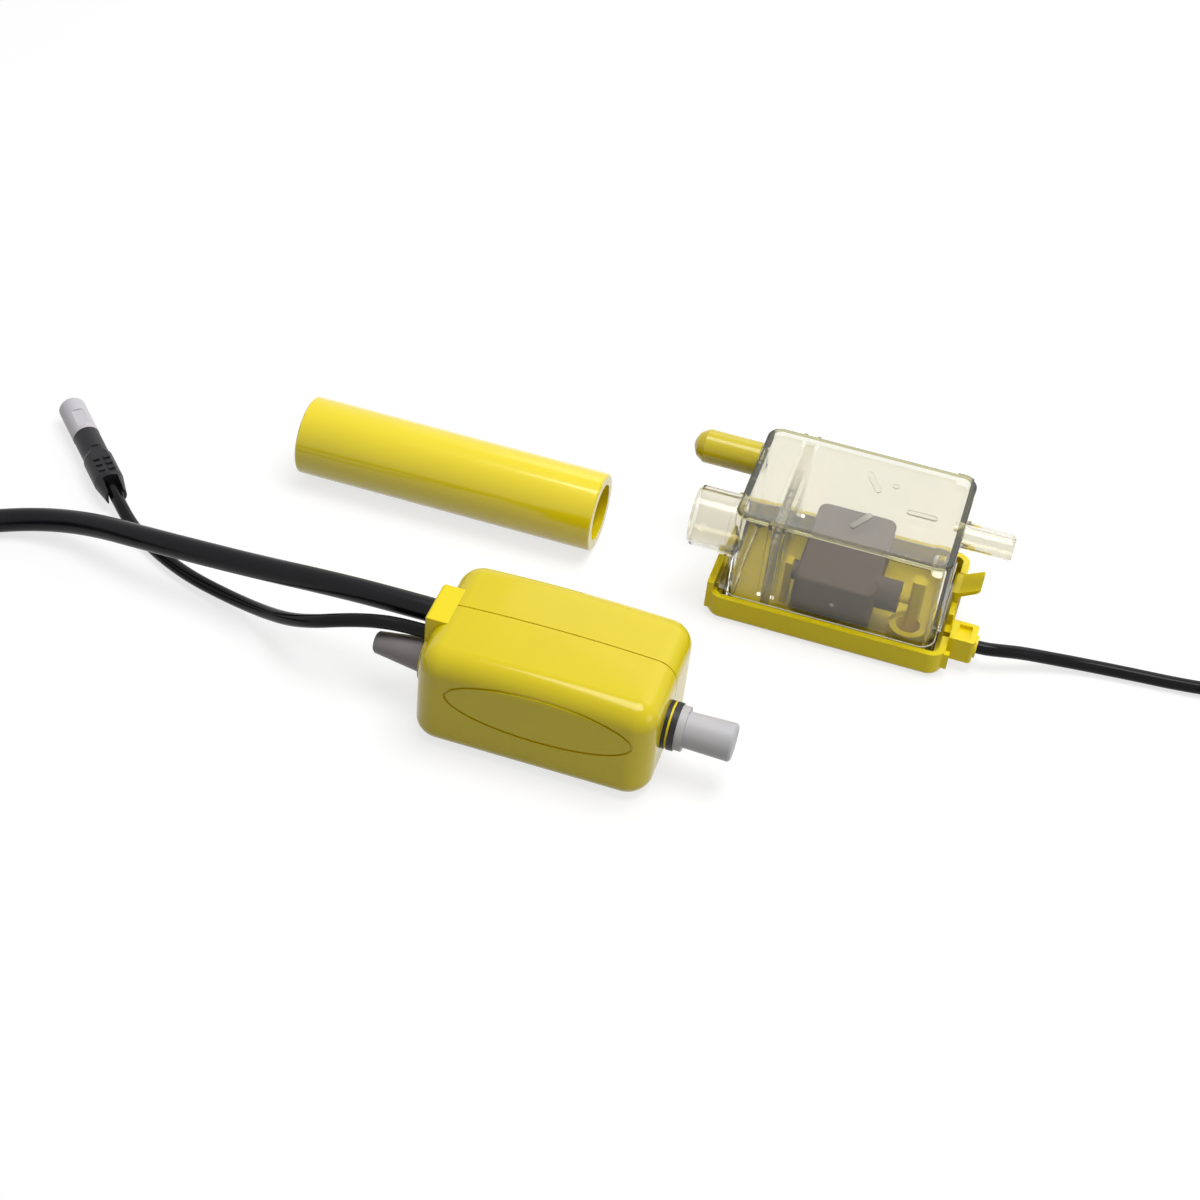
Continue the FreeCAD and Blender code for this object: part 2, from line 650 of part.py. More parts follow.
def make_outlet_grommet():
    start = CASE_LENGTH / 2
    groove_start = start + (GROMMET_LENGTH - CLIP_RING_WIDTH) / 2 - CLIP_RING_SHIFT
    groove_end = groove_start + CLIP_RING_WIDTH
    floor = GROMMET_RADIUS - GROMMET_GROOVE
    bore = OUTLET_BARB_RADIUS + BARB_RISE + SNUG_GAP
    grommet = turned([(start, bore), (start, GROMMET_RADIUS), (groove_start, GROMMET_RADIUS),
                      (groove_start, floor), (groove_end, floor), (groove_end, GROMMET_RADIUS),
                      (start + GROMMET_LENGTH, GROMMET_RADIUS), (start + GROMMET_LENGTH, bore)],
                     PIPE_Y, PIPE_Z)
    clip = ring(GROMMET_RADIUS - CLIP_RING_SUNK, floor + SNUG_GAP,
                Vector(groove_start + SNUG_GAP, PIPE_Y, PIPE_Z), Vector(groove_end - SNUG_GAP, PIPE_Y, PIPE_Z))
    return grommet, clip


def make_outlet_cap():
    start = CASE_LENGTH / 2 + GROMMET_LENGTH + SNUG_GAP
    flange_end = start + OUTLET_CAP_FLANGE_LENGTH
    end = start + OUTLET_CAP_LENGTH
    bore = OUTLET_BARB_RADIUS + BARB_RISE + RUNNING_GAP
    return turned([(start, bore), (start, OUTLET_CAP_FLANGE_RADIUS),
                   (flange_end, OUTLET_CAP_FLANGE_RADIUS), (flange_end, OUTLET_CAP_RADIUS),
                   (end - CAP_TIP_BEVEL, OUTLET_CAP_TIP_RADIUS), (end, OUTLET_CAP_TIP_RADIUS - CAP_TIP_BEVEL),
                   (end, 0), (end - CAP_END_WALL, 0), (end - CAP_END_WALL, bore)], PIPE_Y, PIPE_Z)


def make_inlet_cap():
    start = -CASE_LENGTH / 2 - SNUG_GAP
    end = start - INLET_CAP_LENGTH - INLET_LIP_LENGTH
    bore = INLET_BARB_RADIUS + BARB_RISE + RUNNING_GAP
    bore_end = -CASE_LENGTH / 2 - INLET_BARB_LENGTH - SLIDE_GAP
    return turned([(start, bore), (start, INLET_CAP_ROOT_RADIUS),
                   (start - INLET_LIP_LENGTH, INLET_CAP_ROOT_RADIUS),
                   (end + CAP_TIP_BEVEL, INLET_CAP_TIP_RADIUS), (end, INLET_CAP_TIP_RADIUS - CAP_TIP_BEVEL),
                   (end, 0), (bore_end, 0), (bore_end, bore)], PIPE_Y, PIPE_Z)


# Solenoid, piston and valves

def along_x(radius_outer, radius_inner, x_start, x_end):
    return ring(radius_outer, radius_inner, Vector(x_start, PIPE_Y, PIPE_Z), Vector(x_end, PIPE_Y, PIPE_Z))


def mount_ring(side):
    """Rubber ring that hangs the pump tube in a case rib."""
    middle = side * MOUNT_X
    half_groove = RIB_THICKNESS / 2 + SNUG_GAP
    half_width = MOUNT_RING_WIDTH / 2
    bore = TUBE_RADIUS + SNUG_GAP
    floor = MOUNT_RING_RADIUS - MOUNT_RING_GROOVE
    profile = [(-half_width, bore), (-half_width, MOUNT_RING_RADIUS), (-half_groove, MOUNT_RING_RADIUS),
               (-half_groove, floor), (half_groove, floor), (half_groove, MOUNT_RING_RADIUS),
               (half_width, MOUNT_RING_RADIUS), (half_width, bore)]
    return turned([(middle + x, radius) for x, radius in profile], PIPE_Y, PIPE_Z)


def make_bobbin():
    bore = TUBE_RADIUS + SNUG_GAP
    barrel = bore + BOBBIN_WALL
    flange_end = COIL_HALF_LENGTH + BOBBIN_FLANGE
    flange_radius = COIL_RADIUS + BOBBIN_RIM
    profile = [(-flange_end, bore), (-flange_end, flange_radius), (-COIL_HALF_LENGTH, flange_radius),
               (-COIL_HALF_LENGTH, barrel), (COIL_HALF_LENGTH, barrel), (COIL_HALF_LENGTH, flange_radius),
               (flange_end, flange_radius), (flange_end, bore)]
    return turned(profile, PIPE_Y, PIPE_Z)


def make_yoke():
    """Steel frame bent over the coil, with a hole for the tube at each end."""
    inner_x = COIL_HALF_LENGTH + BOBBIN_FLANGE + SNUG_GAP
    outer_x = inner_x + YOKE_PLATE
    top = PIPE_Z + COIL_RADIUS + BOBBIN_RIM + SNUG_GAP
    low = PIPE_Z - COIL_RADIUS
    y_range = (PIPE_Y - YOKE_HALF_WIDTH, PIPE_Y + YOKE_HALF_WIDTH)
    solid = box((-outer_x, outer_x), y_range, (low, top + YOKE_PLATE))
    solid = solid.cut(box((-inner_x, inner_x), y_range, (low, top)))
    return solid.cut(rod(TUBE_RADIUS + SNUG_GAP, Vector(-outer_x, PIPE_Y, PIPE_Z),
                         Vector(outer_x, PIPE_Y, PIPE_Z)))


def make_piston():
    radius = TUBE_RADIUS - TUBE_WALL - RUNNING_GAP
    waist = radius - PISTON_WAIST
    half = PISTON_HALF_LENGTH
    land = half - PISTON_LAND
    waist_end = land - PISTON_SLOPE
    profile = [(-half, PISTON_BORE), (-half, radius), (-land, radius), (-waist_end, waist),
               (waist_end, waist), (land, radius), (half, radius), (half, PISTON_BORE)]
    return turned(profile, PIPE_Y, PIPE_Z)


def spring(x_start, length):
    """Round-wire compression spring between the piston and a seat."""
    radius = TUBE_RADIUS - TUBE_WALL - RUNNING_GAP - SPRING_WIRE - SPRING_SIDE_GAP
    count = SPRING_TURNS * SPRING_POINTS
    rise = (length - 2 * SPRING_WIRE) / count
    points = []
    for index in range(count + 1):
        angle = 2 * math.pi * index / SPRING_POINTS
        points.append(Vector(x_start + SPRING_WIRE + index * rise, PIPE_Y + radius * math.cos(angle),
                             PIPE_Z + radius * math.sin(angle)))
    path = cable_path(points)[0]
    section = Part.Wire(Part.makeCircle(SPRING_WIRE, points[0], points[1] - points[0]))
    return path.makePipeShell([section], True, False)


def seat(x_start):
    return along_x(TUBE_RADIUS - TUBE_WALL - SNUG_GAP, PISTON_BORE, x_start, x_start + SEAT_THICKNESS)


def valve(x_start):
    """Small poppet: a disc with a guide stem that points to the inlet."""
    profile = [(x_start - VALVE_STEM_LENGTH, 0), (x_start - VALVE_STEM_LENGTH, VALVE_STEM_RADIUS),
               (x_start, VALVE_STEM_RADIUS), (x_start, VALVE_RADIUS),
               (x_start + VALVE_THICKNESS, VALVE_RADIUS), (x_start + VALVE_THICKNESS, 0)]
    return turned(profile, PIPE_Y, PIPE_Z)


# Electronics

def make_board():
    """Circuit board that stands on the case floor between the ribs of the rear half."""
    half_x = BOARD_LENGTH / 2
    solid = box((-half_x, half_x), (BOARD_Y, BOARD_Y + BOARD_THICKNESS), (CASE_WALL, CASE_WALL + BOARD_HEIGHT))
    for x in (-half_x + BOARD_HOLE_INSET, half_x - BOARD_HOLE_INSET):
        for z in (CASE_WALL + BOARD_HOLE_INSET, CASE_WALL + BOARD_HEIGHT - BOARD_HOLE_INSET):
            hole_start = Vector(x, BOARD_Y, z)
            solid = solid.cut(rod(BOARD_HOLE_RADIUS, hole_start, hole_start + Vector(0, BOARD_THICKNESS, 0)))
    return solid


def component(size, x, y, z):
    """Moulded component with its near lower side at the given place, centred along X."""
    half_x = size[0] / 2
    return rounded_block((x - half_x, x + half_x), (y, y + size[1]), (z, z + size[2]), COMPONENT_CORNER)


# Cable ends

def make_cores(end, along):
    """Stripped cores at the end of the mains cable, and the ferrules crimped on them."""
    across = Vector(-along.y, along.x, 0)
    cores = []
    ferrules = []
    for index in (-1, 0, 1):
        start = end + across * (index * CORE_SPACING)
        middle = start + along * CORE_LENGTH
        cores.append(rod(CORE_RADIUS, start, middle))
        ferrules.append(rod(FERRULE_RADIUS, middle, middle + along * FERRULE_LENGTH))
    return cores, Part.makeCompound(ferrules)


def plug_body(start_x):
    """Moulded grip with two jaws at the cable end and rows of finger ribs."""
    taper_end = start_x + PLUG_JAW_LENGTH + PLUG_JAW_TAPER
    grip_end = start_x + PLUG_GRIP_LENGTH
    end = start_x + PLUG_BODY_LENGTH
    neck = PLUG_SHELL_RADIUS - PLUG_NECK_GAP
    solid = turned([(start_x, 0), (start_x, PLUG_RADIUS - PLUG_JAW_DROP), (taper_end, PLUG_RADIUS),
                    (grip_end, PLUG_RADIUS), (grip_end + PLUG_STEP_LENGTH, neck), (end, neck), (end, 0)], 0, 0)
    reach = 2 * PLUG_RADIUS
    jaw_half = LEAD_RADIUS + SLIDE_GAP
    solid = solid.cut(box((start_x - 1, start_x + PLUG_JAW_LENGTH), (-jaw_half, jaw_half), (-reach, reach)))
    flat_x = (start_x + PLUG_FLAT_X[0], start_x + PLUG_FLAT_X[1])
    for side in (-1, 1):
        solid = solid.cut(box(flat_x, (-reach, reach), (side * PLUG_FLAT_HALF, side * reach)))
        for row in range(PLUG_RIB_COUNT):
            row_x = start_x + PLUG_RIB_START + row * PLUG_RIB_PITCH
            for wing in (-1, 1):
                rib_y = (wing * PLUG_RIB_Y[0], wing * PLUG_RIB_Y[1])
                rib_z = (side * PLUG_RIB_Z[0], side * PLUG_RIB_Z[1])
                solid = solid.fuse(box((row_x, row_x + PLUG_RIB_WIDTH), rib_y, rib_z))
    return solid.removeSplitter()


def plug_shell(start_x):
    """Light sleeve round the contacts, with a keyway window on top."""
    end = start_x + PLUG_SHELL_LENGTH
    inner = PLUG_SHELL_RADIUS - PLUG_SHELL_WALL
    length_bevel, radius_bevel = PLUG_SHELL_BEVEL
    solid = turned([(start_x, inner), (start_x, PLUG_SHELL_RADIUS), (end - length_bevel, PLUG_SHELL_RADIUS),
                    (end, PLUG_SHELL_RADIUS - radius_bevel), (end, inner)], 0, 0)
    window_x = (start_x + PLUG_WINDOW_X[0], start_x + PLUG_WINDOW_X[1])
    window = box(window_x, (-PLUG_WINDOW_HALF, PLUG_WINDOW_HALF), (inner + PLUG_WINDOW_FLOOR, 2 * PLUG_SHELL_RADIUS))
    return solid.cut(window)


def plug_pins(start_x):
    pins = []
    for step in range(3):
        angle = math.radians(90 + 120 * step)
        pin_start = Vector(start_x, PIN_CIRCLE * math.cos(angle), PIN_CIRCLE * math.sin(angle))
        pins.append(rod(PIN_RADIUS, pin_start, pin_start + Vector(PIN_LENGTH, 0, 0)))
    return Part.makeCompound(pins)


def laid(solid, position, angle):
    copy = solid.copy()
    copy.rotate(Vector(0, 0, 0), Vector(0, 0, 1), angle)
    copy.translate(position)
    return copy


# Reservoir, in its own frame centred under the tank

def make_lid():
    end_inner = LID_HALF_LENGTH - LID_END_WALL
    side_inner = LID_HALF_DEPTH - LID_SIDE_WALL
    solid = rounded_block((-LID_HALF_LENGTH, LID_HALF_LENGTH), (-LID_HALF_DEPTH, LID_HALF_DEPTH),
                          (0, LID_HEIGHT), LID_PLAN_RADIUS)
    solid = solid.makeFillet(LID_BOTTOM_RADIUS, edges_between(solid, 0, 0))
    solid = solid.cut(rounded_block((-end_inner, end_inner), (-side_inner, side_inner),
                                    (LID_FLOOR, LID_HEIGHT), LID_PLAN_RADIUS - LID_SIDE_WALL))
    solid = solid.fuse(hook_frame()).fuse(latch_ears())
    window_y = (HOOK_FRAME_Y[0] + HOOK_FRAME_SIDE, HOOK_FRAME_Y[1] - HOOK_FRAME_SIDE)
    solid = solid.cut(box((HOOK_FRAME_X[0], -end_inner), window_y, HOOK_WINDOW_Z))
    latch_slot = (LATCH_Y[0] - SLIDE_GAP, LATCH_Y[1] + SLIDE_GAP)
    solid = solid.cut(box((end_inner, LID_HALF_LENGTH), latch_slot, (LID_FLOOR, FAR_EAR_TOP)))
    lead_y = sum(GLAND_Y) / 2
    solid = solid.cut(rod(LEAD_RADIUS, Vector(end_inner, lead_y, GLAND_CABLE_Z),
                          Vector(LID_HALF_LENGTH, lead_y, GLAND_CABLE_Z)))
    lug_x = (LID_HALF_LENGTH - CORNER_LUG_ROOT, LID_HALF_LENGTH + CORNER_LUG_PROUD)
    solid = solid.fuse(box(lug_x, CORNER_LUG_Y, CORNER_LUG_Z))
    cup_base = Vector(CUP_X, CUP_Y, LID_FLOOR)
    cup_top = Vector(CUP_X, CUP_Y, LID_FLOOR + CUP_HEIGHT)
    solid = solid.fuse(ring(CUP_RADIUS, CUP_RADIUS - CUP_WALL, cup_base, cup_top)).fuse(pivot_posts())
    for x in (FLOAT_X[0] + PAD_INSET, FLOAT_X[1] - PAD_INSET - PAD_WIDTH):
        solid = solid.fuse(box((x, x + PAD_WIDTH), PAD_Y, (LID_FLOOR, FLOAT_Z[0] - SLIDE_GAP / 2)))
    board_x, board_y = sensor_board_place()
    half_x = SENSOR_BOARD_SIZE[0] / 2 + SNUG_GAP
    half_y = SENSOR_BOARD_SIZE[1] / 2 + SNUG_GAP
    pocket = box((board_x - half_x, board_x + half_x), (board_y - half_y, board_y + half_y),
                 (0, SENSOR_POCKET_DEPTH))
    return solid.cut(pocket).removeSplitter()


def hook_frame():
    """Raised frame at the inlet end; the tank's hook sits in its window."""
    low = LID_BOTTOM_RADIUS
    frame = box(HOOK_FRAME_X, HOOK_FRAME_Y, (low, HOOK_FRAME_TOP))
    tall_edges = upright_edges(frame)
    outer_edges = [edge for edge in tall_edges if edge.BoundBox.XMax < HOOK_FRAME_X[0] + 0.01]
    return frame.makeFillet(HOOK_FRAME_ROUND, outer_edges)


def latch_ears():
    """Raised stretches of the lid's outlet end wall on both sides of the latch."""
    end_inner = LID_HALF_LENGTH - LID_END_WALL
    x_range = (end_inner, end_inner + EAR_THICKNESS)
    near = box(x_range, (NEAR_EAR_Y, LATCH_Y[0]), (LID_FLOOR, NEAR_EAR_TOP))
    far = box(x_range, (LATCH_Y[1], FAR_EAR_Y), (LID_FLOOR, FAR_EAR_TOP))
    far_corner = [edge for edge in edges_between(far, FAR_EAR_TOP, FAR_EAR_TOP)
                  if edge.BoundBox.YMin > FAR_EAR_Y - 0.01]
    return near.fuse(far.makeFillet(FAR_EAR_ROUND, far_corner))


def sensor_board_place():
    return CUP_X + SENSOR_BOARD_SHIFT[0], CUP_Y + SENSOR_BOARD_SHIFT[1]


def pivot_posts():
    """Two posts on the lid's floor with stub pins that carry the float."""
    half = POST_WIDTH / 2
    right_face = FLOAT_X[1] + BOSS_LENGTH + POST_GAP
    right = box((right_face, right_face + POST_WIDTH), (PIVOT_Y - half, PIVOT_Y + half), (LID_FLOOR, POST_TOP))
    left_face = FLOAT_X[0] - LEFT_BOSS_LENGTH - SLIDE_GAP
    left = box((left_face - POST_WIDTH / 2, left_face), (PIVOT_Y - half, PIVOT_Y + half),
               (LID_FLOOR, LEFT_POST_TOP))
    right_pin = rod(PIVOT_RADIUS, Vector(right_face + PIN_ROOT, PIVOT_Y, PIVOT_Z),
                    Vector(FLOAT_X[1] + BOSS_LENGTH - PIVOT_ENGAGEMENT, PIVOT_Y, PIVOT_Z))
    left_pin = rod(PIVOT_RADIUS, Vector(left_face - PIN_ROOT, PIVOT_Y, PIVOT_Z),
                   Vector(FLOAT_X[0] - LEFT_BOSS_LENGTH + PIVOT_ENGAGEMENT, PIVOT_Y, PIVOT_Z))
    right = right.makeFillet(POST_ROUND, upright_edges(right))
    return right.fuse(right_pin).fuse(left).fuse(left_pin)


def make_float():
    solid = rounded_block(FLOAT_X, FLOAT_Y, FLOAT_Z, FLOAT_CORNER)
    solid = solid.makeFillet(FLOAT_TOP_ROUND, edges_between(solid, FLOAT_Z[1], FLOAT_Z[1]))
    solid = solid.cut(corner_wedge(FLOAT_Y[0], FLOAT_HEEL)).cut(corner_wedge(FLOAT_Y[1], -FLOAT_TOE))
    right_end = FLOAT_X[1] + BOSS_LENGTH
    left_end = FLOAT_X[0] - LEFT_BOSS_LENGTH
    solid = solid.fuse(rod(BOSS_RADIUS, Vector(FLOAT_X[1] - 1, PIVOT_Y, PIVOT_Z),
                           Vector(right_end, PIVOT_Y, PIVOT_Z)))
    solid = solid.fuse(rod(LEFT_BOSS_RADIUS, Vector(FLOAT_X[0] + 1, PIVOT_Y, PIVOT_Z),
                           Vector(left_end, PIVOT_Y, PIVOT_Z)))
    bore = PIVOT_RADIUS + RUNNING_GAP
    depth = PIVOT_ENGAGEMENT + SLIDE_GAP
    solid = solid.cut(rod(bore, Vector(right_end - depth, PIVOT_Y, PIVOT_Z),
                          Vector(right_end + 1, PIVOT_Y, PIVOT_Z)))
    solid = solid.cut(rod(bore, Vector(left_end - 1, PIVOT_Y, PIVOT_Z),
                          Vector(left_end + depth, PIVOT_Y, PIVOT_Z)))
    return solid.cut(magnet_room()).removeSplitter()


def corner_wedge(y, setback):
    """Wedge that bevels the float's lower edge at the given end; setback points into the float."""
    points = [(y - setback, FLOAT_Z[0]), (y + setback, FLOAT_Z[0]), (y, FLOAT_Z[0] + abs(setback)),
              (y - setback, FLOAT_Z[0] + abs(setback))]
    outline = [Vector(FLOAT_X[0], place_y, place_z) for place_y, place_z in points]
    outline.append(outline[0])
    return Part.Face(Part.makePolygon(outline)).extrude(Vector(FLOAT_X[1] - FLOAT_X[0], 0, 0))


def magnet_room():
    face = FLOAT_Y[0]
    dot_end = Vector(DOT_X, face + DOT_DEPTH, DOT_Z)
    dot_hole = rod(DOT_RADIUS + SNUG_GAP, Vector(DOT_X, face - DOT_DEPTH, DOT_Z), dot_end)
    chamber = rod(MAGNET_RADIUS + SNUG_GAP, dot_end, dot_end + Vector(0, MAGNET_LENGTH + 2 * SNUG_GAP, 0))
    return dot_hole.fuse(chamber)


def make_magnet():
    start = FLOAT_Y[0] + DOT_DEPTH + SNUG_GAP
    return rod(MAGNET_RADIUS, Vector(DOT_X, start, DOT_Z), Vector(DOT_X, start + MAGNET_LENGTH, DOT_Z))


def make_magnet_plug():
    return rod(DOT_RADIUS, Vector(DOT_X, FLOAT_Y[0], DOT_Z), Vector(DOT_X, FLOAT_Y[0] + DOT_DEPTH, DOT_Z))


def make_latch():
    """Thumb latch at the lid's outlet end: an upright arm, a hook nose and a raised tab."""
    outer = LID_HALF_LENGTH - LATCH_INSET
    inner = outer - LATCH_THICKNESS
    low = LID_FLOOR + SLIDE_GAP
    tab_end = outer + LATCH_TAB_REACH
    tab_low = LATCH_TOP - LATCH_TAB_THICKNESS
    points = [(inner, low), (outer, low), (outer, tab_low), (tab_end, tab_low + LATCH_TAB_RISE),
              (tab_end, LATCH_TOP + LATCH_TAB_RISE), (outer - LATCH_TAB_HEEL, LATCH_TOP),
              (inner - LATCH_NOSE, LATCH_TOP), (inner - LATCH_NOSE, LATCH_TOP - LATCH_NOSE_LIP),
              (inner, LATCH_TOP - LATCH_NOSE_HEIGHT)]
    outline = [Vector(x, LATCH_Y[0], z) for x, z in points]
    outline.append(outline[0])
    solid = Part.Face(Part.makePolygon(outline)).extrude(Vector(0, LATCH_Y[1] - LATCH_Y[0], 0))
    tip = [edge for edge in upright_edges(solid) if edge.BoundBox.XMin > tab_end - 0.01]
    return solid.makeFillet(LATCH_TAB_ROUND, tip)


def make_gland():
    """Block that clamps the reservoir's lead, with a saddle across its top."""
    start = LID_HALF_LENGTH
    end = start + GLAND_LENGTH
    solid = box((start, end), GLAND_Y, GLAND_Z)
    far_edges = [edge for edge in upright_edges(solid) if edge.BoundBox.XMin > end - 0.01]
    solid = solid.makeFillet(GLAND_ROUND, far_edges)
    solid = solid.cut(box((start + SADDLE_X_INSET[0], end - SADDLE_X_INSET[1]),
                          (GLAND_Y[0] + SADDLE_Y_INSET, GLAND_Y[1] - SADDLE_Y_INSET),
                          (GLAND_Z[1] - SADDLE_DEPTH, GLAND_Z[1])))
    middle = sum(GLAND_Y) / 2
    nose_end = Vector(end + GLAND_NOSE, middle, GLAND_CABLE_Z)
    nose = rod(LEAD_RADIUS + GLAND_NOSE_WALL, Vector(end - GLAND_NOSE_ROOT, middle, GLAND_CABLE_Z), nose_end)
    bore = rod(LEAD_RADIUS + SNUG_GAP, Vector(end - GLAND_SOCKET, middle, GLAND_CABLE_Z), nose_end)
    return solid.fuse(nose).cut(bore).removeSplitter()


def make_gasket():
    """Flat seal on the lid's floor under the tank's edge."""
    outer_y = LID_HALF_DEPTH - LID_SIDE_WALL - SNUG_GAP
    outer_x = TANK_FOOT_HALF[0] + GASKET_LIP
    top = TANK_BOTTOM - SLIDE_GAP / 3
    outside = Part.Face(rounded_rectangle(outer_x, outer_y, LID_PLAN_RADIUS - LID_SIDE_WALL, LID_FLOOR))
    inside = Part.Face(rounded_rectangle(TANK_FOOT_HALF[0] - TANK_WALL, TANK_FOOT_HALF[1] - TANK_WALL,
                                         TANK_PLAN_RADIUS - TANK_WALL, LID_FLOOR))
    return outside.cut(inside).extrude(Vector(0, 0, top - LID_FLOOR))


def spigot_tip(place, side):
    return side * (TANK_ROOF_HALF[0] + place["length"])


def spigot_body(place, side):
    """Round spigot with a collar at its root and a bevelled tip; side is -1 or 1 along X."""
    root = side * (TANK_ROOF_HALF[0] - SPIGOT_ROOT_DEPTH)
    collar_end = side * (TANK_ROOF_HALF[0] + SPIGOT_COLLAR_LENGTH)
    tip = spigot_tip(place, side)
    radius = place["radius"]
    back = side * SPIGOT_CHAMFER
    profile = [(root, 0), (root, radius + place["collar"])]
    if place["collar"] > 0:
        profile += [(collar_end, radius + place["collar"]), (collar_end, radius)]
    profile += [(tip - back, radius), (tip, radius - SPIGOT_CHAMFER), (tip, 0)]
    return turned(profile, place["y"], place["z"])


def spigot_bore(place, side):
    inside = side * (TANK_ROOF_HALF[0] - SPIGOT_ROOT_DEPTH)
    return rod(place["radius"] - place["wall"], Vector(inside, place["y"], place["z"]),
               Vector(spigot_tip(place, side), place["y"], place["z"]))


def make_tank():
    roof_z = TANK_TOP - TANK_WALL
    outer = Part.makeLoft([rounded_rectangle(*TANK_FOOT_HALF, TANK_PLAN_RADIUS, TANK_BOTTOM),
                           rounded_rectangle(*TANK_ROOF_HALF, TANK_PLAN_RADIUS, TANK_TOP)], True, True)
    inner_foot = [half - TANK_WALL for half in TANK_FOOT_HALF]
    inner_roof = [half - TANK_WALL for half in TANK_ROOF_HALF]
    inner_radius = TANK_PLAN_RADIUS - TANK_WALL
    inner = Part.makeLoft([rounded_rectangle(*inner_foot, inner_radius, TANK_BOTTOM),
                           rounded_rectangle(*inner_roof, inner_radius, roof_z)], True, True)
    spigots = [(INLET_SPIGOT, -1), (OVERFLOW_SPIGOT, -1), (OUTLET_SPIGOT, 1)]
    solid = outer.makeFillet(TANK_ROOF_ROUND, edges_between(outer, TANK_TOP, TANK_TOP))
    for place, side in spigots:
        solid = solid.fuse(spigot_body(place, side))
    solid = solid.cut(inner)
    ribs = []
    for side in (-1, 1):
        rib_x = FILTER_X + side * (FILTER_THICKNESS / 2 + SLIDE_GAP / 2)
        x_range = (rib_x, rib_x + side * CHANNEL_RIB)
        for y_side in (-1, 1):
            wall_y = y_side * TANK_ROOF_HALF[1]
            depth_y = y_side * (TANK_FOOT_HALF[1] - TANK_WALL - CHANNEL_DEPTH)
            ribs.append(box(x_range, (wall_y, depth_y), (CHANNEL_BOTTOM_Z, TANK_TOP)))
        ribs.append(box(x_range, (-inner_roof[1], inner_roof[1]), (roof_z - CHANNEL_ROOF_DEPTH, TANK_TOP)))
    ribs.append(box((SUCTION_X - SUCTION_HALF_WIDTH, SUCTION_X + SUCTION_HALF_WIDTH),
                    (SUCTION_KNOB_Y, TANK_ROOF_HALF[1]), (roof_z - SUCTION_DEPTH, TANK_TOP)))
    ribs.append(rod(SUCTION_KNOB_RADIUS, Vector(SUCTION_X, SUCTION_KNOB_Y, roof_z - SUCTION_KNOB_LENGTH),
                    Vector(SUCTION_X, SUCTION_KNOB_Y, TANK_TOP)))
    for rib in ribs:
        solid = solid.fuse(rib.common(outer))
    for place, side in spigots:
        solid = solid.cut(spigot_bore(place, side))
    solid = solid.fuse(star_bars())
    inner_face = TANK_FOOT_HALF[0] - TANK_WALL / 2
    solid = solid.fuse(box((TANK_HOOK_TIP, -inner_face), TANK_HOOK_Y, TANK_HOOK_Z))
    solid = solid.fuse(box((inner_face, TANK_FOOT_HALF[0] + TANK_LEDGE_REACH), TANK_LEDGE_Y, TANK_LEDGE_Z))
    return solid.removeSplitter()


def star_bars():
    """Three raised bars on the tank's roof, spread evenly round the moulding gate."""
    low = TANK_TOP - STAR_ROOT
    high = TANK_TOP + STAR_RISE
    bars = []
    for step in range(3):
        bar = box((STAR_INNER + STAR_BAR / 2, STAR_OUTER - STAR_BAR / 2), (-STAR_BAR / 2, STAR_BAR / 2), (low, high))
        for x in (STAR_INNER + STAR_BAR / 2, STAR_OUTER - STAR_BAR / 2):
            bar = bar.fuse(rod(STAR_BAR / 2, Vector(x, 0, low), Vector(x, 0, high)))
        bar.rotate(Vector(0, 0, 0), Vector(0, 0, 1), 120 * step)
        bars.append(moved(bar, STAR_X, STAR_Y))
    gate = rod(GATE_RADIUS, Vector(*GATE_PLACE, low), Vector(*GATE_PLACE, high))
    return bars[0].fuse(bars[1]).fuse(bars[2]).fuse(gate)


def make_filter():
    """Slotted screen that slides up between the tank's channel ribs."""
    half_y = TANK_FOOT_HALF[1] - TANK_WALL - SLIDE_GAP
    low = LID_FLOOR + SLIDE_GAP
    high = TANK_TOP - TANK_WALL - SLIDE_GAP
    x_range = (FILTER_X - FILTER_THICKNESS / 2, FILTER_X + FILTER_THICKNESS / 2)
    solid = box(x_range, (-half_y, half_y), (low, high))
    pitch = 2 * (half_y - FILTER_SIDE_BAR) / FILTER_SLOT_COUNT
    half_slot = FILTER_SLOT_SHARE * pitch / 2
    slot_z = (low + FILTER_LOW_BAR, high - FILTER_HIGH_BAR)
    for index in range(FILTER_SLOT_COUNT):
        y = -half_y + FILTER_SIDE_BAR + (index + 0.5) * pitch
        solid = solid.cut(box(x_range, (y - half_slot, y + half_slot), slot_z))
    return solid


def make_blank_cap():
    place = OVERFLOW_SPIGOT
    start = -TANK_ROOF_HALF[0] - SLIDE_GAP
    bore = place["radius"] + RUNNING_GAP
    bore_end = spigot_tip(place, -1) - SLIDE_GAP
    tip = bore_end - BLANK_CAP_END_WALL
    neck_length, neck_rise = BLANK_CAP_NECK
    button_length, button_drop = BLANK_CAP_BUTTON
    profile = [(start, bore), (start, BLANK_CAP_RADIUS), (tip + BLANK_CAP_TAPER, BLANK_CAP_RADIUS),
               (tip + neck_length, BLANK_CAP_TIP_RADIUS + neck_rise),
               (tip + button_length, BLANK_CAP_TIP_RADIUS - button_drop),
               (tip, BLANK_CAP_TIP_RADIUS - BLANK_CAP_FACE), (tip, 0), (bore_end, 0), (bore_end, bore)]
    return turned(profile, place["y"], place["z"])


# Cable routes, from the object outwards

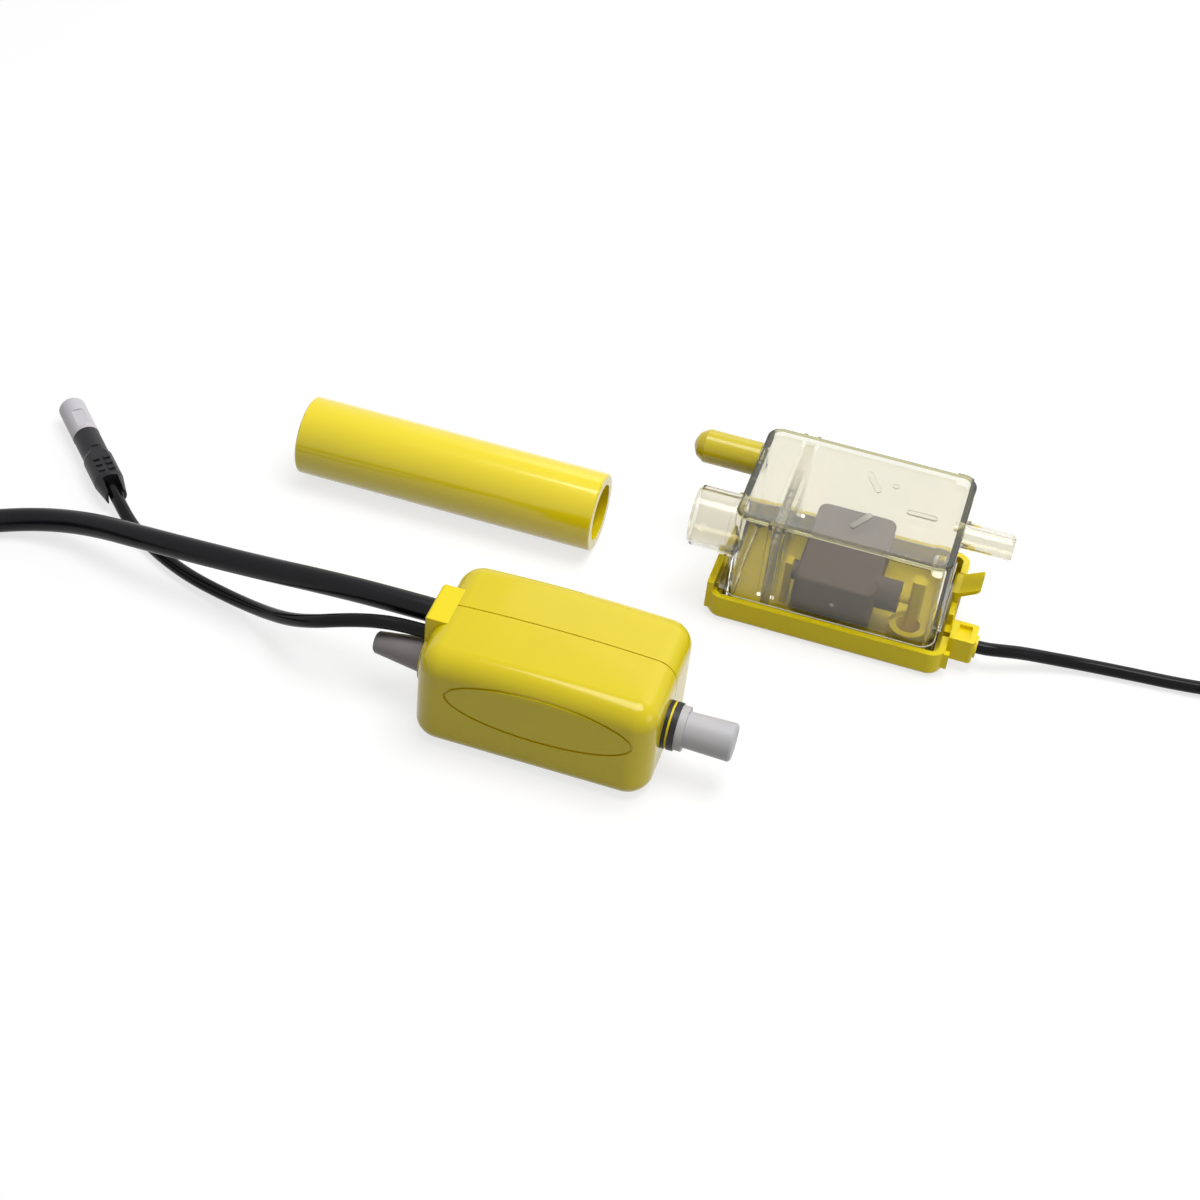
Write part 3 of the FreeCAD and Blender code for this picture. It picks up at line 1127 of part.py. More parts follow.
MAINS_ROUTE = [
    (-CASE_LENGTH / 2 - BLOCK_PROUD, MAINS_EXIT_Y, MAINS_EXIT_Z),
    (-46.0, MAINS_EXIT_Y, MAINS_EXIT_Z),
    (-62.0, 3.8, 20.2),
    (-80.0, 5.8, 17.0),
    (-98.0, 7.4, 14.8),
    (-114.0, 9.4, 12.4),
    (-128.0, 12.8, 8.9),
    (-140.0, 14.2, 5.6),
    (-150.0, 12.4, 3.9),
    (-159.0, 8.4, MAINS_RADIUS),
    (-171.0, 4.4, MAINS_RADIUS),
    (-182.0, 3.3, MAINS_RADIUS)]

PUMP_LEAD_ROUTE = [
    (-CASE_LENGTH / 2 - BLOCK_PROUD, LEAD_EXIT_Y, LEAD_EXIT_Z),
    (-39.0, LEAD_EXIT_Y, LEAD_EXIT_Z),
    (-46.0, -4.9, 20.4),
    (-53.0, -6.3, 19.2),
    (-60.5, -6.2, 15.9),
    (-68.5, -3.1, 11.0),
    (-78.0, 2.5, 5.6),
    (-89.0, 7.6, 2.1),
    (-101.0, 10.9, LEAD_RADIUS),
    (-111.0, 15.2, LEAD_RADIUS),
    (-118.5, 19.6, LEAD_RADIUS),
    (-124.8, 24.0, 2.3),
    (-130.3, 28.82, PLUG_RADIUS),
    (-135.04, 33.83, PLUG_RADIUS)]

RESERVOIR_LEAD_ROUTE = [
    (RESERVOIR_X + LID_HALF_LENGTH + GLAND_LENGTH - GLAND_SOCKET, RESERVOIR_Y + sum(GLAND_Y) / 2, GLAND_CABLE_Z),
    (97.4, 60.1, GLAND_CABLE_Z),
    (101.6, 61.2, 5.8),
    (107.4, 63.8, 4.8),
    (115.0, 66.8, 3.0),
    (124.6, 69.2, 1.9),
    (137.0, 70.6, LEAD_RADIUS),
    (150.0, 71.7, LEAD_RADIUS),
    (165.0, 74.4, LEAD_RADIUS),
    (186.0, 74.85, LEAD_RADIUS)]


def build():
    parts = {}
    parts["front_shell"] = case_half(True)
    parts["rear_shell"] = case_half(False)
    parts["cable_block"] = make_cable_block()
    parts["inlet_fitting"] = fitting(-1, INLET_BARB_RADIUS, INLET_BARB_LENGTH)
    parts["outlet_fitting"] = fitting(1, OUTLET_BARB_RADIUS, OUTLET_BARB_LENGTH)
    parts["inlet_seal_ring"] = seal_ring(-1)
    parts["outlet_seal_ring"] = seal_ring(1)
    parts["outlet_grommet"], parts["outlet_clip_ring"] = make_outlet_grommet()
    parts["inlet_cap"] = make_inlet_cap()
    parts["outlet_cap"] = make_outlet_cap()
    parts["pump_tube"] = along_x(TUBE_RADIUS, TUBE_RADIUS - TUBE_WALL, -TUBE_HALF_LENGTH, TUBE_HALF_LENGTH)
    parts["bobbin"] = make_bobbin()
    barrel = TUBE_RADIUS + 2 * SNUG_GAP + BOBBIN_WALL
    parts["coil_winding"] = along_x(COIL_RADIUS, barrel, -COIL_HALF_LENGTH + SNUG_GAP, COIL_HALF_LENGTH - SNUG_GAP)
    parts["yoke"] = make_yoke()
    parts["inlet_mount_ring"] = mount_ring(-1)
    parts["outlet_mount_ring"] = mount_ring(1)
    parts["piston"] = make_piston()
    spring_x = PISTON_HALF_LENGTH + SPRING_END_GAP
    seat_x = spring_x + SPRING_LENGTH + SPRING_END_GAP
    parts["inlet_spring"] = spring(-spring_x - SPRING_LENGTH, SPRING_LENGTH)
    parts["outlet_spring"] = spring(spring_x, SPRING_LENGTH)
    parts["inlet_seat"] = seat(-seat_x - SEAT_THICKNESS)
    parts["outlet_seat"] = seat(seat_x)
    parts["piston_valve"] = valve(PISTON_HALF_LENGTH + SNUG_GAP)
    parts["outlet_valve"] = valve(seat_x + SEAT_THICKNESS + SNUG_GAP)
    parts["circuit_board"] = make_board()
    board_back = BOARD_Y + BOARD_THICKNESS
    parts["board_capacitor"] = component(CAPACITOR_SIZE, CAPACITOR_PLACE[0], board_back, CAPACITOR_PLACE[1])
    parts["board_switch"] = component(SWITCH_SIZE, SWITCH_PLACE[0], board_back, SWITCH_PLACE[1])
    cutout_z = PIPE_Z + COIL_RADIUS + BOBBIN_RIM + SNUG_GAP + YOKE_PLATE
    parts["thermal_cutout"] = component(CUTOUT_SIZE, 0, PIPE_Y - CUTOUT_SIZE[1] / 2, cutout_z)

    parts["mains_cable"] = cable("mains_cable", MAINS_ROUTE, MAINS_RADIUS)
    coil, end, along = coil_solid((MAINS_COIL_X, MAINS_COIL_Y), MAINS_RADIUS, MAINS_COIL_LAYERS,
                                  MAINS_TAIL_LENGTH, 180)
    parts["mains_cable_coil"] = coil
    cores, parts["core_ferrules"] = make_cores(end, along)
    for name, core in zip(("neutral_core", "earth_core", "live_core"), cores):
        parts[name] = core

    parts["pump_lead"] = cable("pump_lead", PUMP_LEAD_ROUTE, LEAD_RADIUS)
    place = Vector(PLUG_X, PLUG_Y, PLUG_RADIUS)
    parts["plug_body"] = laid(plug_body(0), place, PLUG_ANGLE)
    parts["plug_shell"] = laid(plug_shell(PLUG_BODY_LENGTH), place, PLUG_ANGLE)
    parts["plug_pins"] = laid(plug_pins(PLUG_BODY_LENGTH), place, PLUG_ANGLE)

    parts["reservoir_lead"] = cable("reservoir_lead", RESERVOIR_LEAD_ROUTE, LEAD_RADIUS)
    coil, end, along = coil_solid((RESERVOIR_COIL_X, RESERVOIR_COIL_Y), LEAD_RADIUS, RESERVOIR_COIL_LAYERS,
                                  RESERVOIR_TAIL_LENGTH, -90, True)
    parts["reservoir_lead_coil"] = coil
    socket_place = end + Vector(0, 0, PLUG_RADIUS - LEAD_RADIUS)
    parts["socket_body"] = laid(plug_body(-PLUG_JAW_LENGTH), socket_place, -90)

    for name, solid in reservoir_parts().items():
        parts[name] = moved(solid, RESERVOIR_X, RESERVOIR_Y)

    parts["inlet_hose"] = make_hose()
    return parts


def make_hose():
    """Thick-walled connecting hose with its outer end edges eased."""
    half = HOSE_LENGTH / 2
    bore = HOSE_RADIUS - HOSE_WALL
    profile = [(-half, bore), (-half, HOSE_RADIUS - HOSE_EDGE), (-half + HOSE_EDGE, HOSE_RADIUS),
               (half - HOSE_EDGE, HOSE_RADIUS), (half, HOSE_RADIUS - HOSE_EDGE), (half, bore)]
    return moved(turned(profile, 0, HOSE_RADIUS), HOSE_X, HOSE_Y)


def reservoir_parts():
    parts = {}
    parts["lid"] = make_lid()
    parts["lid_latch"] = make_latch()
    parts["lid_gland"] = make_gland()
    parts["lid_gasket"] = make_gasket()
    board_x, board_y = sensor_board_place()
    board_low = SENSOR_POCKET_DEPTH - SENSOR_BOARD_SIZE[2] - SNUG_GAP
    half_x = SENSOR_BOARD_SIZE[0] / 2
    half_y = SENSOR_BOARD_SIZE[1] / 2
    parts["sensor_board"] = box((board_x - half_x, board_x + half_x), (board_y - half_y, board_y + half_y),
                                (board_low, board_low + SENSOR_BOARD_SIZE[2]))
    parts["sensor_potting"] = box((board_x - half_x, board_x + half_x), (board_y - half_y, board_y + half_y),
                                  (0.1, board_low - SNUG_GAP))
    parts["tank"] = make_tank()
    parts["filter_screen"] = make_filter()
    parts["overflow_cap"] = make_blank_cap()
    parts["float"] = make_float()
    parts["float_magnet"] = make_magnet()
    parts["magnet_plug"] = make_magnet_plug()
    return parts


def main():
    os.makedirs("parts", exist_ok=True)
    for name, solid in build().items():
        print(name, "solids", len(solid.Solids), "valid", solid.isValid(), "volume", round(solid.Volume, 1))
        solid.exportStep("parts/" + name + ".step")


main()
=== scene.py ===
import json
import math

import bpy
from mathutils import Matrix, Vector


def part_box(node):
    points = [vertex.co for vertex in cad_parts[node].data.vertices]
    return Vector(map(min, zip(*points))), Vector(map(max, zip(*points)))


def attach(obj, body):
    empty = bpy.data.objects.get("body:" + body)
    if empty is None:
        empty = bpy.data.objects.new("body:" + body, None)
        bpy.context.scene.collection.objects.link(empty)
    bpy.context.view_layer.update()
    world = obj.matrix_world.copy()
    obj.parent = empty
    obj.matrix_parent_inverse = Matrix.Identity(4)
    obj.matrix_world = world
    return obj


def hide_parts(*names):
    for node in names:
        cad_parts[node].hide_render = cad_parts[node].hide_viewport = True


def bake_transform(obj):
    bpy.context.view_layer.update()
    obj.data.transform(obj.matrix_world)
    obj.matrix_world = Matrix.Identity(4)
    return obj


# Everything is in metres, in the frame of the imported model. MM turns a size in
# millimetres into metres.
MM = 0.001

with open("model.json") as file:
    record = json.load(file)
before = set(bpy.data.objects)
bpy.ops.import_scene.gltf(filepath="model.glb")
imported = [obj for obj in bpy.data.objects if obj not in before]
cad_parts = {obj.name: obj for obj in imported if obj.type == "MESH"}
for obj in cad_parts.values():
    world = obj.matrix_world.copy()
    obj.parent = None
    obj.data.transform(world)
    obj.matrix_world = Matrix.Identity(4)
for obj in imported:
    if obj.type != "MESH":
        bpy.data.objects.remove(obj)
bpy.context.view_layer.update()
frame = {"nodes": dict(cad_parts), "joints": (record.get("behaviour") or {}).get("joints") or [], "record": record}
nodes = frame["nodes"]


# Camera

CAMERA_PLACE = Vector((93.78, -382.47, 399.10)) * MM
CAMERA_TARGET = Vector((-1.15, 45.74, 0.0)) * MM
CAMERA_ROLL = math.radians(6.95)
CAMERA_LENS = 67.83
CAMERA_SENSOR_WIDTH = 36.0
CAMERA_CLIP_START = 0.01


def set_camera():
    forward = (CAMERA_TARGET - CAMERA_PLACE).normalized()
    level = forward.cross(Vector((0, 0, 1))).normalized()
    above = level.cross(forward)
    right = math.cos(CAMERA_ROLL) * level + math.sin(CAMERA_ROLL) * above
    up = -math.sin(CAMERA_ROLL) * level + math.cos(CAMERA_ROLL) * above
    data = bpy.data.cameras.new("camera")
    data.lens = CAMERA_LENS
    data.sensor_width = CAMERA_SENSOR_WIDTH
    data.clip_start = CAMERA_CLIP_START
    camera = bpy.data.objects.new("camera", data)
    turn = Matrix((right, up, -forward)).transposed()
    camera.matrix_world = Matrix.Translation(CAMERA_PLACE) @ turn.to_4x4()
    bpy.context.scene.collection.objects.link(camera)
    bpy.context.scene.camera = camera


# Cables: the routes and coils of the CAD source, in millimetres. A tail is the end
# that lies on the coil.

MAINS_ROUTE = [
    (-32, 2.6, 22), (-46, 2.6, 22), (-62, 3.8, 20.2), (-80, 5.8, 17), (-98, 7.4, 14.8),
    (-114, 9.4, 12.4), (-128, 12.8, 8.9), (-140, 14.2, 5.6), (-150, 12.4, 3.9),
    (-159, 8.4, 3.1), (-171, 4.4, 3.1)]
MAINS_TAIL = [(-173, -2.9, 15.04), (-182, -2.9, 15.04), (-195, -2.9, 15.04)]
PUMP_LEAD_ROUTE = [
    (-32, -3.5, 20.5), (-39, -3.5, 20.5), (-46, -4.9, 20.4), (-53, -6.3, 19.2),
    (-60.5, -6.2, 15.9), (-68.5, -3.1, 11), (-78, 2.5, 5.6), (-89, 7.6, 2.1),
    (-101, 10.9, 1.75), (-111, 15.2, 1.75), (-118.5, 19.6, 1.75), (-124.8, 24, 2.3),
    (-130.3, 28.82, 4), (-135.04, 33.83, 4)]
RESERVOIR_LEAD_ROUTE = [
    (93.0, 60.1, 6), (97.4, 60.1, 6), (101.6, 61.2, 5.8), (107.4, 63.8, 4.8),
    (115, 66.8, 3), (124.6, 69.2, 1.9), (137, 70.6, 1.75), (150, 71.7, 1.75),
    (165, 74.4, 1.75)]
RESERVOIR_LEAD_TAIL = [(205.25, 56, 12.0), (205.25, 52.1, 12.0), (205.25, 45.1, 12.0)]
MAINS_COIL_CENTRE = (-182, -37)
RESERVOIR_COIL_CENTRE = (186, 52.1)
MAINS_RADIUS = 3.1
LEAD_RADIUS = 1.75

# Measures of a coil, in radii of its cable
COIL_MIDDLE = 11
TURN_STEP = 2
LAST_TURN_LIFT = 1.85

POINTS_PER_TURN = 18
ROUNDING = 1e-9
LINE_STEPS = 8
SHEATH_BEVEL_STEPS = 6


def turn_schedule(radius, layers):
    """(turns so far, way out from the centre, height) of a wound coil, and its last turn."""
    inner = (COIL_MIDDLE - TURN_STEP) * radius
    middle = COIL_MIDDLE * radius
    outer = (COIL_MIDDLE + TURN_STEP) * radius
    low, high, top = radius, 3 * radius, 5 * radius
    steps = [(0, outer, low), (0.75, outer, low), (1, middle, low), (1.75, middle, low),
             (2, inner, low), (2.5, inner, low), (2.75, inner, high), (3.25, inner, high),
             (3.5, middle, high), (4.25, middle, high), (4.5, outer, high), (5, outer, high)]
    if layers == 2:
        last = high + LAST_TURN_LIFT * radius
        return steps + [(5.25, (middle + outer) / 2, last), (5.92, middle, last)]
    last = top + LAST_TURN_LIFT * radius
    return steps + [(5.25, outer, top), (5.75, outer, top), (6, middle, top), (6.75, middle, top),
                    (7, inner, top), (7.5, inner, top), (7.75, (inner + middle) / 2, last),
                    (8.17, middle, last)]


def coil_points(centre, radius, layers, way):
    """Turns of a neat coil, in millimetres, that winds inwards, back outwards and up.

    It starts on the coil's far side; way is 1 for anticlockwise and -1 for clockwise.
    """
    steps = turn_schedule(radius, layers)
    last = steps[-1][0]
    count = int(last * POINTS_PER_TURN)
    points = []
    for index in range(1, count + 1):
        at = index * last / count
        following = next(k for k, step in enumerate(steps) if step[0] >= at - ROUNDING)
        before, after = steps[following - 1], steps[following]
        share = (at - before[0]) / (after[0] - before[0])
        share = share * share * (3 - 2 * share)
        distance = before[1] + share * (after[1] - before[1])
        angle = math.pi / 2 + way * 2 * math.pi * at
        points.append((centre[0] + distance * math.cos(angle), centre[1] + distance * math.sin(angle),
                       before[2] + share * (after[2] - before[2])))
    return points


def cable(name, points, radius):
    """Round cable along a smooth line near the given points, which are in millimetres."""
    data = bpy.data.curves.new(name, "CURVE")
    data.dimensions = "3D"
    line = data.splines.new("NURBS")
    line.points.add(len(points) - 1)
    for point, place in zip(line.points, points):
        point.co = (*(Vector(place) * MM), 1)
    line.order_u = 3
    line.use_endpoint_u = True
    line.resolution_u = LINE_STEPS
    data.bevel_depth = radius * MM
    data.bevel_resolution = SHEATH_BEVEL_STEPS
    data.use_fill_caps = True
    piece = bpy.data.objects.new(name, data)
    bpy.context.scene.collection.objects.link(piece)
    return piece


def line_length(points):
    """Length in metres of the smooth line of order 3 near the points."""
    total = 0.0
    last = Vector(points[0])
    for second, third in zip(points[1:], points[2:]):
        second, third = Vector(second), Vector(third)
        start = last
        end = third if third == Vector(points[-1]) else (second + third) / 2
        for step in range(1, LINE_STEPS + 1):
            share = step / LINE_STEPS
            place = (1 - share) ** 2 * start + 2 * share * (1 - share) * second + share ** 2 * end
            total += (place - last).length
            last = place
    return total * MM


# Tank: the sizes of the CAD source, in millimetres

TANK_CENTRE = (57.2, 72.1)
TANK_ROOF_HALF = (28.2, 20.1)
TANK_FOOT_HALF = (28.03, 19.67)
TANK_ROOF_Z = 34.5
TANK_WALL = 1.8
TANK_CORNER = 4.0
LID_RIM_Z = 7.5
BEAD_RADIUS = 0.22
BEAD_GAP = 0.03
BEAD_BEVEL_STEPS = 3
QUARTER_CIRCLE_HANDLE = 0.5523


def foot_highlight_bead():
    """Thin pale bead round the tank just above the lid's rim; its pale colour is a painted highlight where the
    foot's edge catches the light.
    """
    half_x, half_y = TANK_FOOT_HALF
    bpy.ops.curve.primitive_bezier_circle_add(radius=1)
    bead = bpy.context.object
    bead.name = "tank_bead"
    line = bead.data.splines[0]
    line.bezier_points.add(4)
    reach = TANK_CORNER * QUARTER_CIRCLE_HANDLE
    height = LID_RIM_Z + BEAD_RADIUS + BEAD_GAP
    corners = [(1, -1, False), (1, -1, True), (1, 1, True), (1, 1, False),
               (-1, 1, False), (-1, 1, True), (-1, -1, True), (-1, -1, False)]
    for point, (side_x, side_y, on_end) in zip(line.bezier_points, corners):
        x = side_x * (half_x - (0 if on_end else TANK_CORNER))
        y = side_y * (half_y - (TANK_CORNER if on_end else 0))
        place = Vector((TANK_CENTRE[0] + x, TANK_CENTRE[1] + y, height))
        to_corner = Vector((0, side_y * reach, 0) if on_end else (side_x * reach, 0, 0))
        if (side_x * side_y > 0) != on_end:
            to_corner = -to_corner
        point.handle_left_type = point.handle_right_type = "FREE"
        point.co = place * MM
        point.handle_left = (place - to_corner) * MM
        point.handle_right = (place + to_corner) * MM
    bead.data.dimensions = "3D"
    bead.data.bevel_depth = BEAD_RADIUS * MM
    bead.data.bevel_resolution = BEAD_BEVEL_STEPS
    bpy.ops.object.convert(target="MESH")
    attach(bead, "tank")
    return bead


# Springs

MERGE_DISTANCE = 0.001 * MM
SMOOTH_UP_TO = math.radians(40)


def sprung(rule):
    """Spring in place of the CAD spring, which is hidden.

    It is a copy of the CAD spring, with its loose triangles merged.
    """
    node = rule["node"]
    low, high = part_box(node)
    fixed_x = rule["fixed_end_x_m"]
    moving_x = max(low[0], high[0], key=lambda end_x: abs(end_x - fixed_x))
    piece = bpy.data.objects.new(node + "_turns", nodes[node].data.copy())
    bpy.context.scene.collection.objects.link(piece)
    bpy.ops.object.select_all(action="DESELECT")
    piece.select_set(True)
    bpy.context.view_layer.objects.active = piece
    bpy.ops.object.mode_set(mode="EDIT")
    bpy.ops.mesh.select_all(action="SELECT")
    bpy.ops.mesh.remove_doubles(threshold=MERGE_DISTANCE)
    bpy.ops.object.mode_set(mode="OBJECT")
    bpy.ops.object.shade_smooth_by_angle(angle=SMOOTH_UP_TO)
    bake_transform(piece)
    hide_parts(node)
    return piece


# Node trees

class Signal:
    """A value that runs through a finish; arithmetic on it adds Math nodes."""

    def __init__(self, finish, socket):
        self.finish = finish
        self.socket = socket

    def __add__(self, other):
        return self.finish.maths("ADD", self, other)

    def __sub__(self, other):
        return self.finish.maths("SUBTRACT", self, other)

    def __rsub__(self, other):
        return self.finish.maths("SUBTRACT", other, self)

    def __mul__(self, other):
        return self.finish.maths("MULTIPLY", self, other)

    def __gt__(self, other):
        return self.finish.maths("GREATER_THAN", self, other)

    __radd__ = __add__
    __rmul__ = __mul__


class Finish:
    """A material, or the world, that is put together node by node."""

    def __init__(self, owner):
        owner.use_nodes = True
        self.owner = owner
        self.tree = owner.node_tree
        self.tree.nodes.clear()

    def node(self, kind, settings, sockets, output=0):
        made = self.tree.nodes.new(kind)
        for name, value in settings.items():
            if name == "stops":
                while len(made.color_ramp.elements) < len(value):
                    made.color_ramp.elements.new(0.5)
                for element, (position, colour) in zip(made.color_ramp.elements, value):
                    element.position = position
                    element.color = (*colour, 1)
            else:
                setattr(made, name, value)
        for name, value in sockets.items():
            if isinstance(value, Signal):
                self.tree.links.new(value.socket, made.inputs[name])
            else:
                made.inputs[name].default_value = value
        return None if output is None else Signal(self, made.outputs[output])

    def maths(self, operation, *values):
        return self.node("ShaderNodeMath", {"operation": operation}, dict(enumerate(values)))

    def place(self):
        return self.node("ShaderNodeTexCoord", {}, {}, "Object")

    def stretched(self, scale):
        return self.node("ShaderNodeMapping", {}, {"Vector": self.place(), "Scale": scale})

    def noise(self, vector, scale=1, detail=2):
        return self.node("ShaderNodeTexNoise", {}, {"Vector": vector, "Scale": scale, "Detail": detail})

    def axis(self, vector, name):
        return self.node("ShaderNodeSeparateXYZ", {}, {"Vector": vector}, name)

    def ramp(self, factor, stops):
        return self.node("ShaderNodeValToRGB", {"stops": stops}, {"Fac": factor})

    def mottled(self, noise, dark, light):
        """Colour that drifts between two, over the middle range that noise fills."""
        return self.ramp(noise, [(0.3, dark), (0.7, light)])

    def bump(self, height, distance):
        return self.node("ShaderNodeBump", {}, {"Height": height, "Distance": distance, "Strength": 1.0})

    def surface(self, **sockets):
        names = {name.replace("_", " ").title().replace("Ior", "IOR"): value
                 for name, value in sockets.items()}
        return self.node("ShaderNodeBsdfPrincipled", {}, names)

    def light_path(self, name):
        return self.node("ShaderNodeLightPath", {}, {}, name)

    def seen(self):
        """1 where the camera sees it, straight, mirrored or through clear plastic, and otherwise 0."""
        straight = self.light_path("Is Camera Ray")
        mirrored = self.light_path("Is Glossy Ray")
        through = self.light_path("Is Transmission Ray")
        scattered = self.light_path("Diffuse Depth") > 0.5
        return self.maths("MAXIMUM", straight, self.maths("MAXIMUM", mirrored, through)) * (1 - scattered)

    def done(self, shader, output="ShaderNodeOutputMaterial"):
        self.node(output, {}, {"Surface": shader}, None)
        return self.owner


def new_finish(name):
    return Finish(bpy.data.materials.new(name))


def shade(colour, factor):
    return tuple(min(1.0, channel * factor) for channel in colour)


# Kinds of finish. Noise scales are per metre and bump distances in metres.

CLEAR_FLOW = (35, 35, 12)
CLEAR_COAT = 0.7
EDGE_BAND = 0.4 * MM     # below the roof's top
BAR_FOOT = 0.1 * MM      # above the roof's top
BAR_FROST = 0.4


def moulded(name, colour, roughness, variation=0.05, grain=0.00001, grain_scale=2200, shine=0.5, coat=0.0):
    """Injection-moulded plastic: faint clouds of colour, uneven gloss and a fine moulding grain."""
    finish = new_finish(name)
    cloud = finish.noise(finish.place(), scale=55, detail=3)
    flow = finish.noise(finish.stretched((14, 60, 60)))
    fine = finish.noise(finish.place(), scale=grain_scale)
    base = finish.mottled(0.6 * cloud + 0.4 * flow,
                          shade(colour, 1 - variation), shade(colour, 1 + variation))
    return finish.done(finish.surface(
        base_color=base, roughness=roughness + 0.1 * (cloud - 0.5) + 0.06 * (fine - 0.5),
        normal=finish.bump(fine, grain), specular_ior_level=shine,
        coat_weight=coat, coat_roughness=0.05))


def rubbery(name, colour, roughness, grain=0.00002, shine=0.35):
    """Dull rubber or cable sheath with a fine uneven skin and paler scuffs."""
    finish = new_finish(name)
    skin = finish.noise(finish.place(), scale=1500, detail=3)
    scuff = finish.noise(finish.place(), scale=120, detail=4)
    base = finish.ramp(scuff, [(0.35, colour), (0.75, shade(colour, 1.6))])
    return finish.done(finish.surface(
        base_color=base, roughness=roughness + 0.18 * (scuff - 0.5), normal=finish.bump(skin, grain),
        specular_ior_level=shine))


def metal(name, colour, roughness):
    """Drawn or turned metal with fine lines along X."""
    finish = new_finish(name)
    lines = finish.noise(finish.stretched((30, 1200, 1200)), detail=3)
    base = finish.mottled(lines, shade(colour, 0.85), shade(colour, 1.1))
    return finish.done(finish.surface(
        base_color=base, metallic=1.0, roughness=roughness + 0.15 * (lines - 0.5),
        normal=finish.bump(lines, 0.000006)))


def glazed(finish, glass, colour, lamp_share):
    """Ends a clear finish: the lamps' light passes straight through, dimmed to lamp_share."""
    lamp = finish.light_path("Is Shadow Ray")
    open_way = finish.node("ShaderNodeBsdfTransparent", {}, {"Color": (*shade(colour, lamp_share), 1)})
    return finish.done(finish.node("ShaderNodeMixShader", {}, {0: lamp, 1: glass, 2: open_way}))


def screen_plastic(name, colour, roughness, ior, haze, lamp_share):
    """Clear moulded plastic with a few flow marks."""
    finish = new_finish(name)
    flow = finish.noise(finish.stretched(CLEAR_FLOW))
    tint = finish.mottled(flow, shade(colour, 0.985), colour)
    glass = finish.surface(base_color=tint, roughness=roughness + 0.03 * flow, ior=ior,
                           transmission_weight=1 - haze, coat_weight=CLEAR_COAT, coat_roughness=0.03,
                           normal=finish.bump(flow, 0.0001))
    return glazed(finish, glass, colour, lamp_share)


def tank_plastic(name, colour, edge_colour, roughness, ior, haze, lamp_share):
    """Clear tank with frosted roof bars, and a painted olive shade along the top of each wall, where one looks
    down into the thickness of the wall.
    """
    finish = new_finish(name)
    place = finish.place()
    flow = finish.noise(finish.stretched(CLEAR_FLOW))
    past = []
    for axis, centre, half in zip("XY", TANK_CENTRE, TANK_ROOF_HALF):
        away = finish.maths("ABSOLUTE", finish.axis(place, axis) - centre * MM)
        past.append(finish.maths("MAXIMUM", away - (half - TANK_CORNER) * MM, 0.0))
    from_corner = finish.maths("SQRT", past[0] * past[0] + past[1] * past[1])
    height = finish.axis(place, "Z")
    # Where the painted olive shade goes: over the thickness of the walls, just below the roof's top
    edge_shade_band = (from_corner > (TANK_CORNER - TANK_WALL) * MM) * (height > TANK_ROOF_Z * MM - EDGE_BAND)
    on_bar = height > TANK_ROOF_Z * MM + BAR_FOOT
    tint = finish.ramp(0.1 * flow + 0.85 * edge_shade_band,
                       [(0.0, shade(colour, 0.98)), (0.1, colour), (0.85, edge_colour)])
    glass = finish.surface(base_color=tint, roughness=roughness + 0.02 * flow + BAR_FROST * on_bar, ior=ior,
                           transmission_weight=1 - haze, coat_weight=CLEAR_COAT, coat_roughness=0.03,
                           normal=finish.bump(flow, 0.0001))
    return glazed(finish, glass, colour, lamp_share)


def wound_copper(name):
    """Enamelled wire laid in close turns along X."""
    finish = new_finish(name)
    turns = finish.node("ShaderNodeTexWave", {"bands_direction": "X", "wave_profile": "SIN"},
                        {"Vector": finish.place(), "Scale": 900.0, "Distortion": 0.4})
    base = finish.ramp(turns, [(0.1, (0.16, 0.045, 0.015)), (0.8, (0.62, 0.24, 0.10))])
    return finish.done(finish.surface(base_color=base, metallic=0.9, roughness=0.3,
                                      normal=finish.bump(turns, 0.0001)))


def circuit_board(name):
    """Green solder mask with faint copper tracks under it."""
    finish = new_finish(name)
    tracks = finish.node("ShaderNodeTexBrick", {"offset": 0.5}, {
        "Vector": finish.stretched((260, 260, 260)), "Scale": 1.0, "Mortar Size": 0.06,
        "Color1": (0.012, 0.10, 0.035, 1), "Color2": (0.010, 0.085, 0.03, 1),
        "Mortar": (0.05, 0.22, 0.07, 1)}, "Color")
    height = finish.noise(finish.place(), scale=700)
    return finish.done(finish.surface(base_color=tracks, roughness=0.35 + 0.1 * height,
                                      normal=finish.bump(height, 0.00001)))


def striped_core(name, stripe_z):
    """Green core insulation with a yellow stripe along it, above the height stripe_z."""
    finish = new_finish(name)
    grain = finish.noise(finish.place(), scale=900)
    stripe = finish.axis(finish.place(), "Z") > stripe_z
    base = finish.ramp(0.9 * stripe + 0.1 * grain, [(0.3, (0.06, 0.30, 0.05)), (0.6, (0.80, 0.66, 0.05))])
    return finish.done(finish.surface(base_color=base, roughness=0.35 + 0.1 * grain))


# The finish of each material slot, and of overflow_cap and of the pale bead of painted highlight round the tank's
# foot

YELLOW = (0.83, 0.665, 0.006)
FINISHES = {}


def add(name, kind, **settings):
    FINISHES[name] = kind(name, **settings)


add("yellow_case", moulded, colour=shade(YELLOW, 0.98), roughness=0.2, variation=0.03,
    grain=0.000003, grain_scale=1400, shine=0.2, coat=0.3)
add("yellow_lid", moulded, colour=shade(YELLOW, 1.15), roughness=0.3, grain=0.000008, shine=0.3)
# The hose's yellow is brighter than the case's: painted light, standing in for the stronger light that falls on
# the hose
add("yellow_hose", moulded, colour=shade(YELLOW, 1.19), roughness=0.22, variation=0.03,
    grain=0.000005, grain_scale=900, shine=0.4, coat=0.5)
add("overflow_cap", moulded, colour=shade(YELLOW, 0.82), roughness=0.25, variation=0.03,
    grain=0.000005, grain_scale=900, shine=0.35, coat=0.4)
